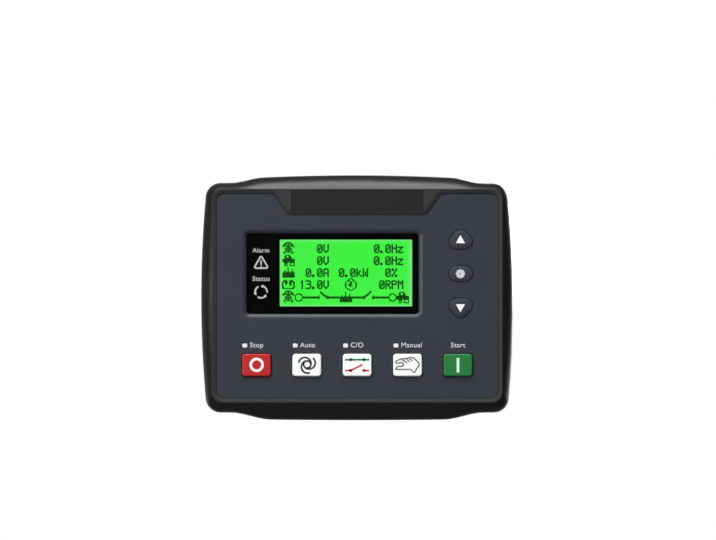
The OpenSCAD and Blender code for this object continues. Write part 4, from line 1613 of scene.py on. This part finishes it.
@dataclass(frozen=True)
class SoftLight:
    """A soft rectangular light that points at the part.

    Its place and size are in metres, its power in watts, and the angle that it shines into in degrees.
    """

    name: str
    place: tuple[float, float, float]
    size: Point
    power: float
    spread: float = 100.0

    def build(self) -> None:
        """Hang the light."""
        light = bpy.data.lights.new(self.name, "AREA")
        light.shape = "RECTANGLE"
        light.size, light.size_y = self.size
        light.energy = self.power
        light.spread = math.radians(self.spread)
        lamp = bpy.data.objects.new(self.name, light)
        lamp.location = self.place
        lamp.rotation_euler = (-Vector(self.place)).to_track_quat("-Z", "Y").to_euler()
        bpy.context.scene.collection.objects.link(lamp)


LIGHTS = (
    SoftLight("top_light", (-0.075, -0.55, 1.0), (1.2, 0.69), 6.7),
    SoftLight("left_light", (-1.2, -1.32, 0.3), (0.75, 0.9), 6.2),
    SoftLight("rear_light", (0.5, 1.2, 0.3), (0.9, 0.6), 5.0, spread=60.0),
)


@dataclass
class Studio:
    """The floor, the light, the white surroundings and the camera.

    The spans are parts of the direction along Y or Z, between which the surroundings change.
    """

    floor_level: float = -300.0
    floor_radius: float = 5000.0
    frame_width: float = 330.0
    aim: Point = (0.35, 12.8)
    distance: float = 3500.0
    face_front: float = 8.0
    sensor: float = 36.0
    clip: Point = (0.05, 20.0)
    front_fill: float = 0.03
    side_fill: float = 0.13
    low_share: float = 0.4
    back_fill: float = 0.18
    front_span: Point = (-1.0, -0.3)
    back_span: Point = (0.1, 0.7)
    white_span: Point = (0.85, 0.97)
    height_span: Point = (-0.4, 0.4)

    def build(self) -> None:
        """Set the stage up."""
        self.floor()
        self.world()
        for light in LIGHTS:
            light.build()
        self.camera()
        bpy.context.scene.view_settings.view_transform = "Standard"

    def floor(self) -> None:
        """Lay a pale round floor below the part, out of the photo's frame."""
        deselect()
        bpy.ops.mesh.primitive_circle_add(vertices=96, radius=self.floor_radius * MM, fill_type="NGON")
        floor = bpy.context.object
        floor.name = "floor"
        floor.location.z = self.floor_level * MM
        settle(floor)
        floor.data.materials.append(FLOOR.material())

    def world(self) -> None:
        """Make an even soft fill that the camera sees as white, and gloss and glass too on the far side."""
        world = bpy.data.worlds.new("studio")
        bpy.context.scene.world = world
        world.use_nodes = True
        graph = Graph(world.node_tree)
        direction = graph.add("SeparateXYZ", {0: graph.add("TexCoord").outputs["Generated"]}).outputs
        white = graph.seen(graph.ramp(direction[1], self.white_span, ease=Ease.SOFT))
        near = graph.ramp(direction[1], self.front_span, self.front_fill, self.side_fill)
        far = graph.ramp(direction[1], self.back_span, high=self.back_fill - self.side_fill)
        height = graph.ramp(direction[2], self.height_span, self.low_share)
        fill = graph.math("MULTIPLY", graph.math("ADD", near, far), height)
        strength = graph.math("ADD", white, graph.math("MULTIPLY", graph.math("SUBTRACT", 1.0, white), fill))
        glow = graph.add("Background", {"Color": WHITE, "Strength": strength})
        graph.add("OutputWorld", {"Surface": glow.outputs[0]})

    def camera(self) -> None:
        """Set the camera straight in front of the panel."""
        lens = bpy.data.cameras.new("camera")
        lens.sensor_width = self.sensor
        lens.lens = self.sensor * self.distance / self.frame_width
        lens.clip_start, lens.clip_end = self.clip
        camera = bpy.data.objects.new("camera", lens)
        camera.location = (self.aim[0] * MM, -(self.distance + self.face_front) * MM, self.aim[1] * MM)
        camera.rotation_euler = FACING_VIEWER
        bpy.context.scene.collection.objects.link(camera)
        bpy.context.scene.camera = camera


KEYS = (
    Key("stop", "red_key", KEY_RED, Symbol.RING),
    Key("auto", "white_key", KEY_WHITE, Symbol.SWIRL),
    Key("changeover", "white_key", KEY_WHITE, Symbol.SWITCHES),
    Key("manual", "white_key", KEY_WHITE, Symbol.HAND),
    Key("start", "green_key", KEY_GREEN, Symbol.BAR),
    Key("up", "slate_key", KEY_SLATE_PAINTED_LIGHTER, Symbol.ARROW_UP, shift=-0.2),
    Key("menu", "slate_key", KEY_SLATE_PAINTED_LIGHTER, Symbol.GEAR, shift=-0.2),
    Key("down", "slate_key", KEY_SLATE_PAINTED_LIGHTER, Symbol.ARROW_DOWN, shift=-0.2),
)


def main() -> None:
    """Build the part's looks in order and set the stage."""
    logging.basicConfig(level=logging.INFO, format="%(name)s: %(message)s")
    Studio().build()
    for assembly in (FrontCase(), FacePanel(), Display(), *KEYS, RearCase(), Terminals(), Clips(), Inside()):
        assembly.build()
        LOG.info("%s is ready", type(assembly).__name__)


if __name__ == "__main__":
    main()
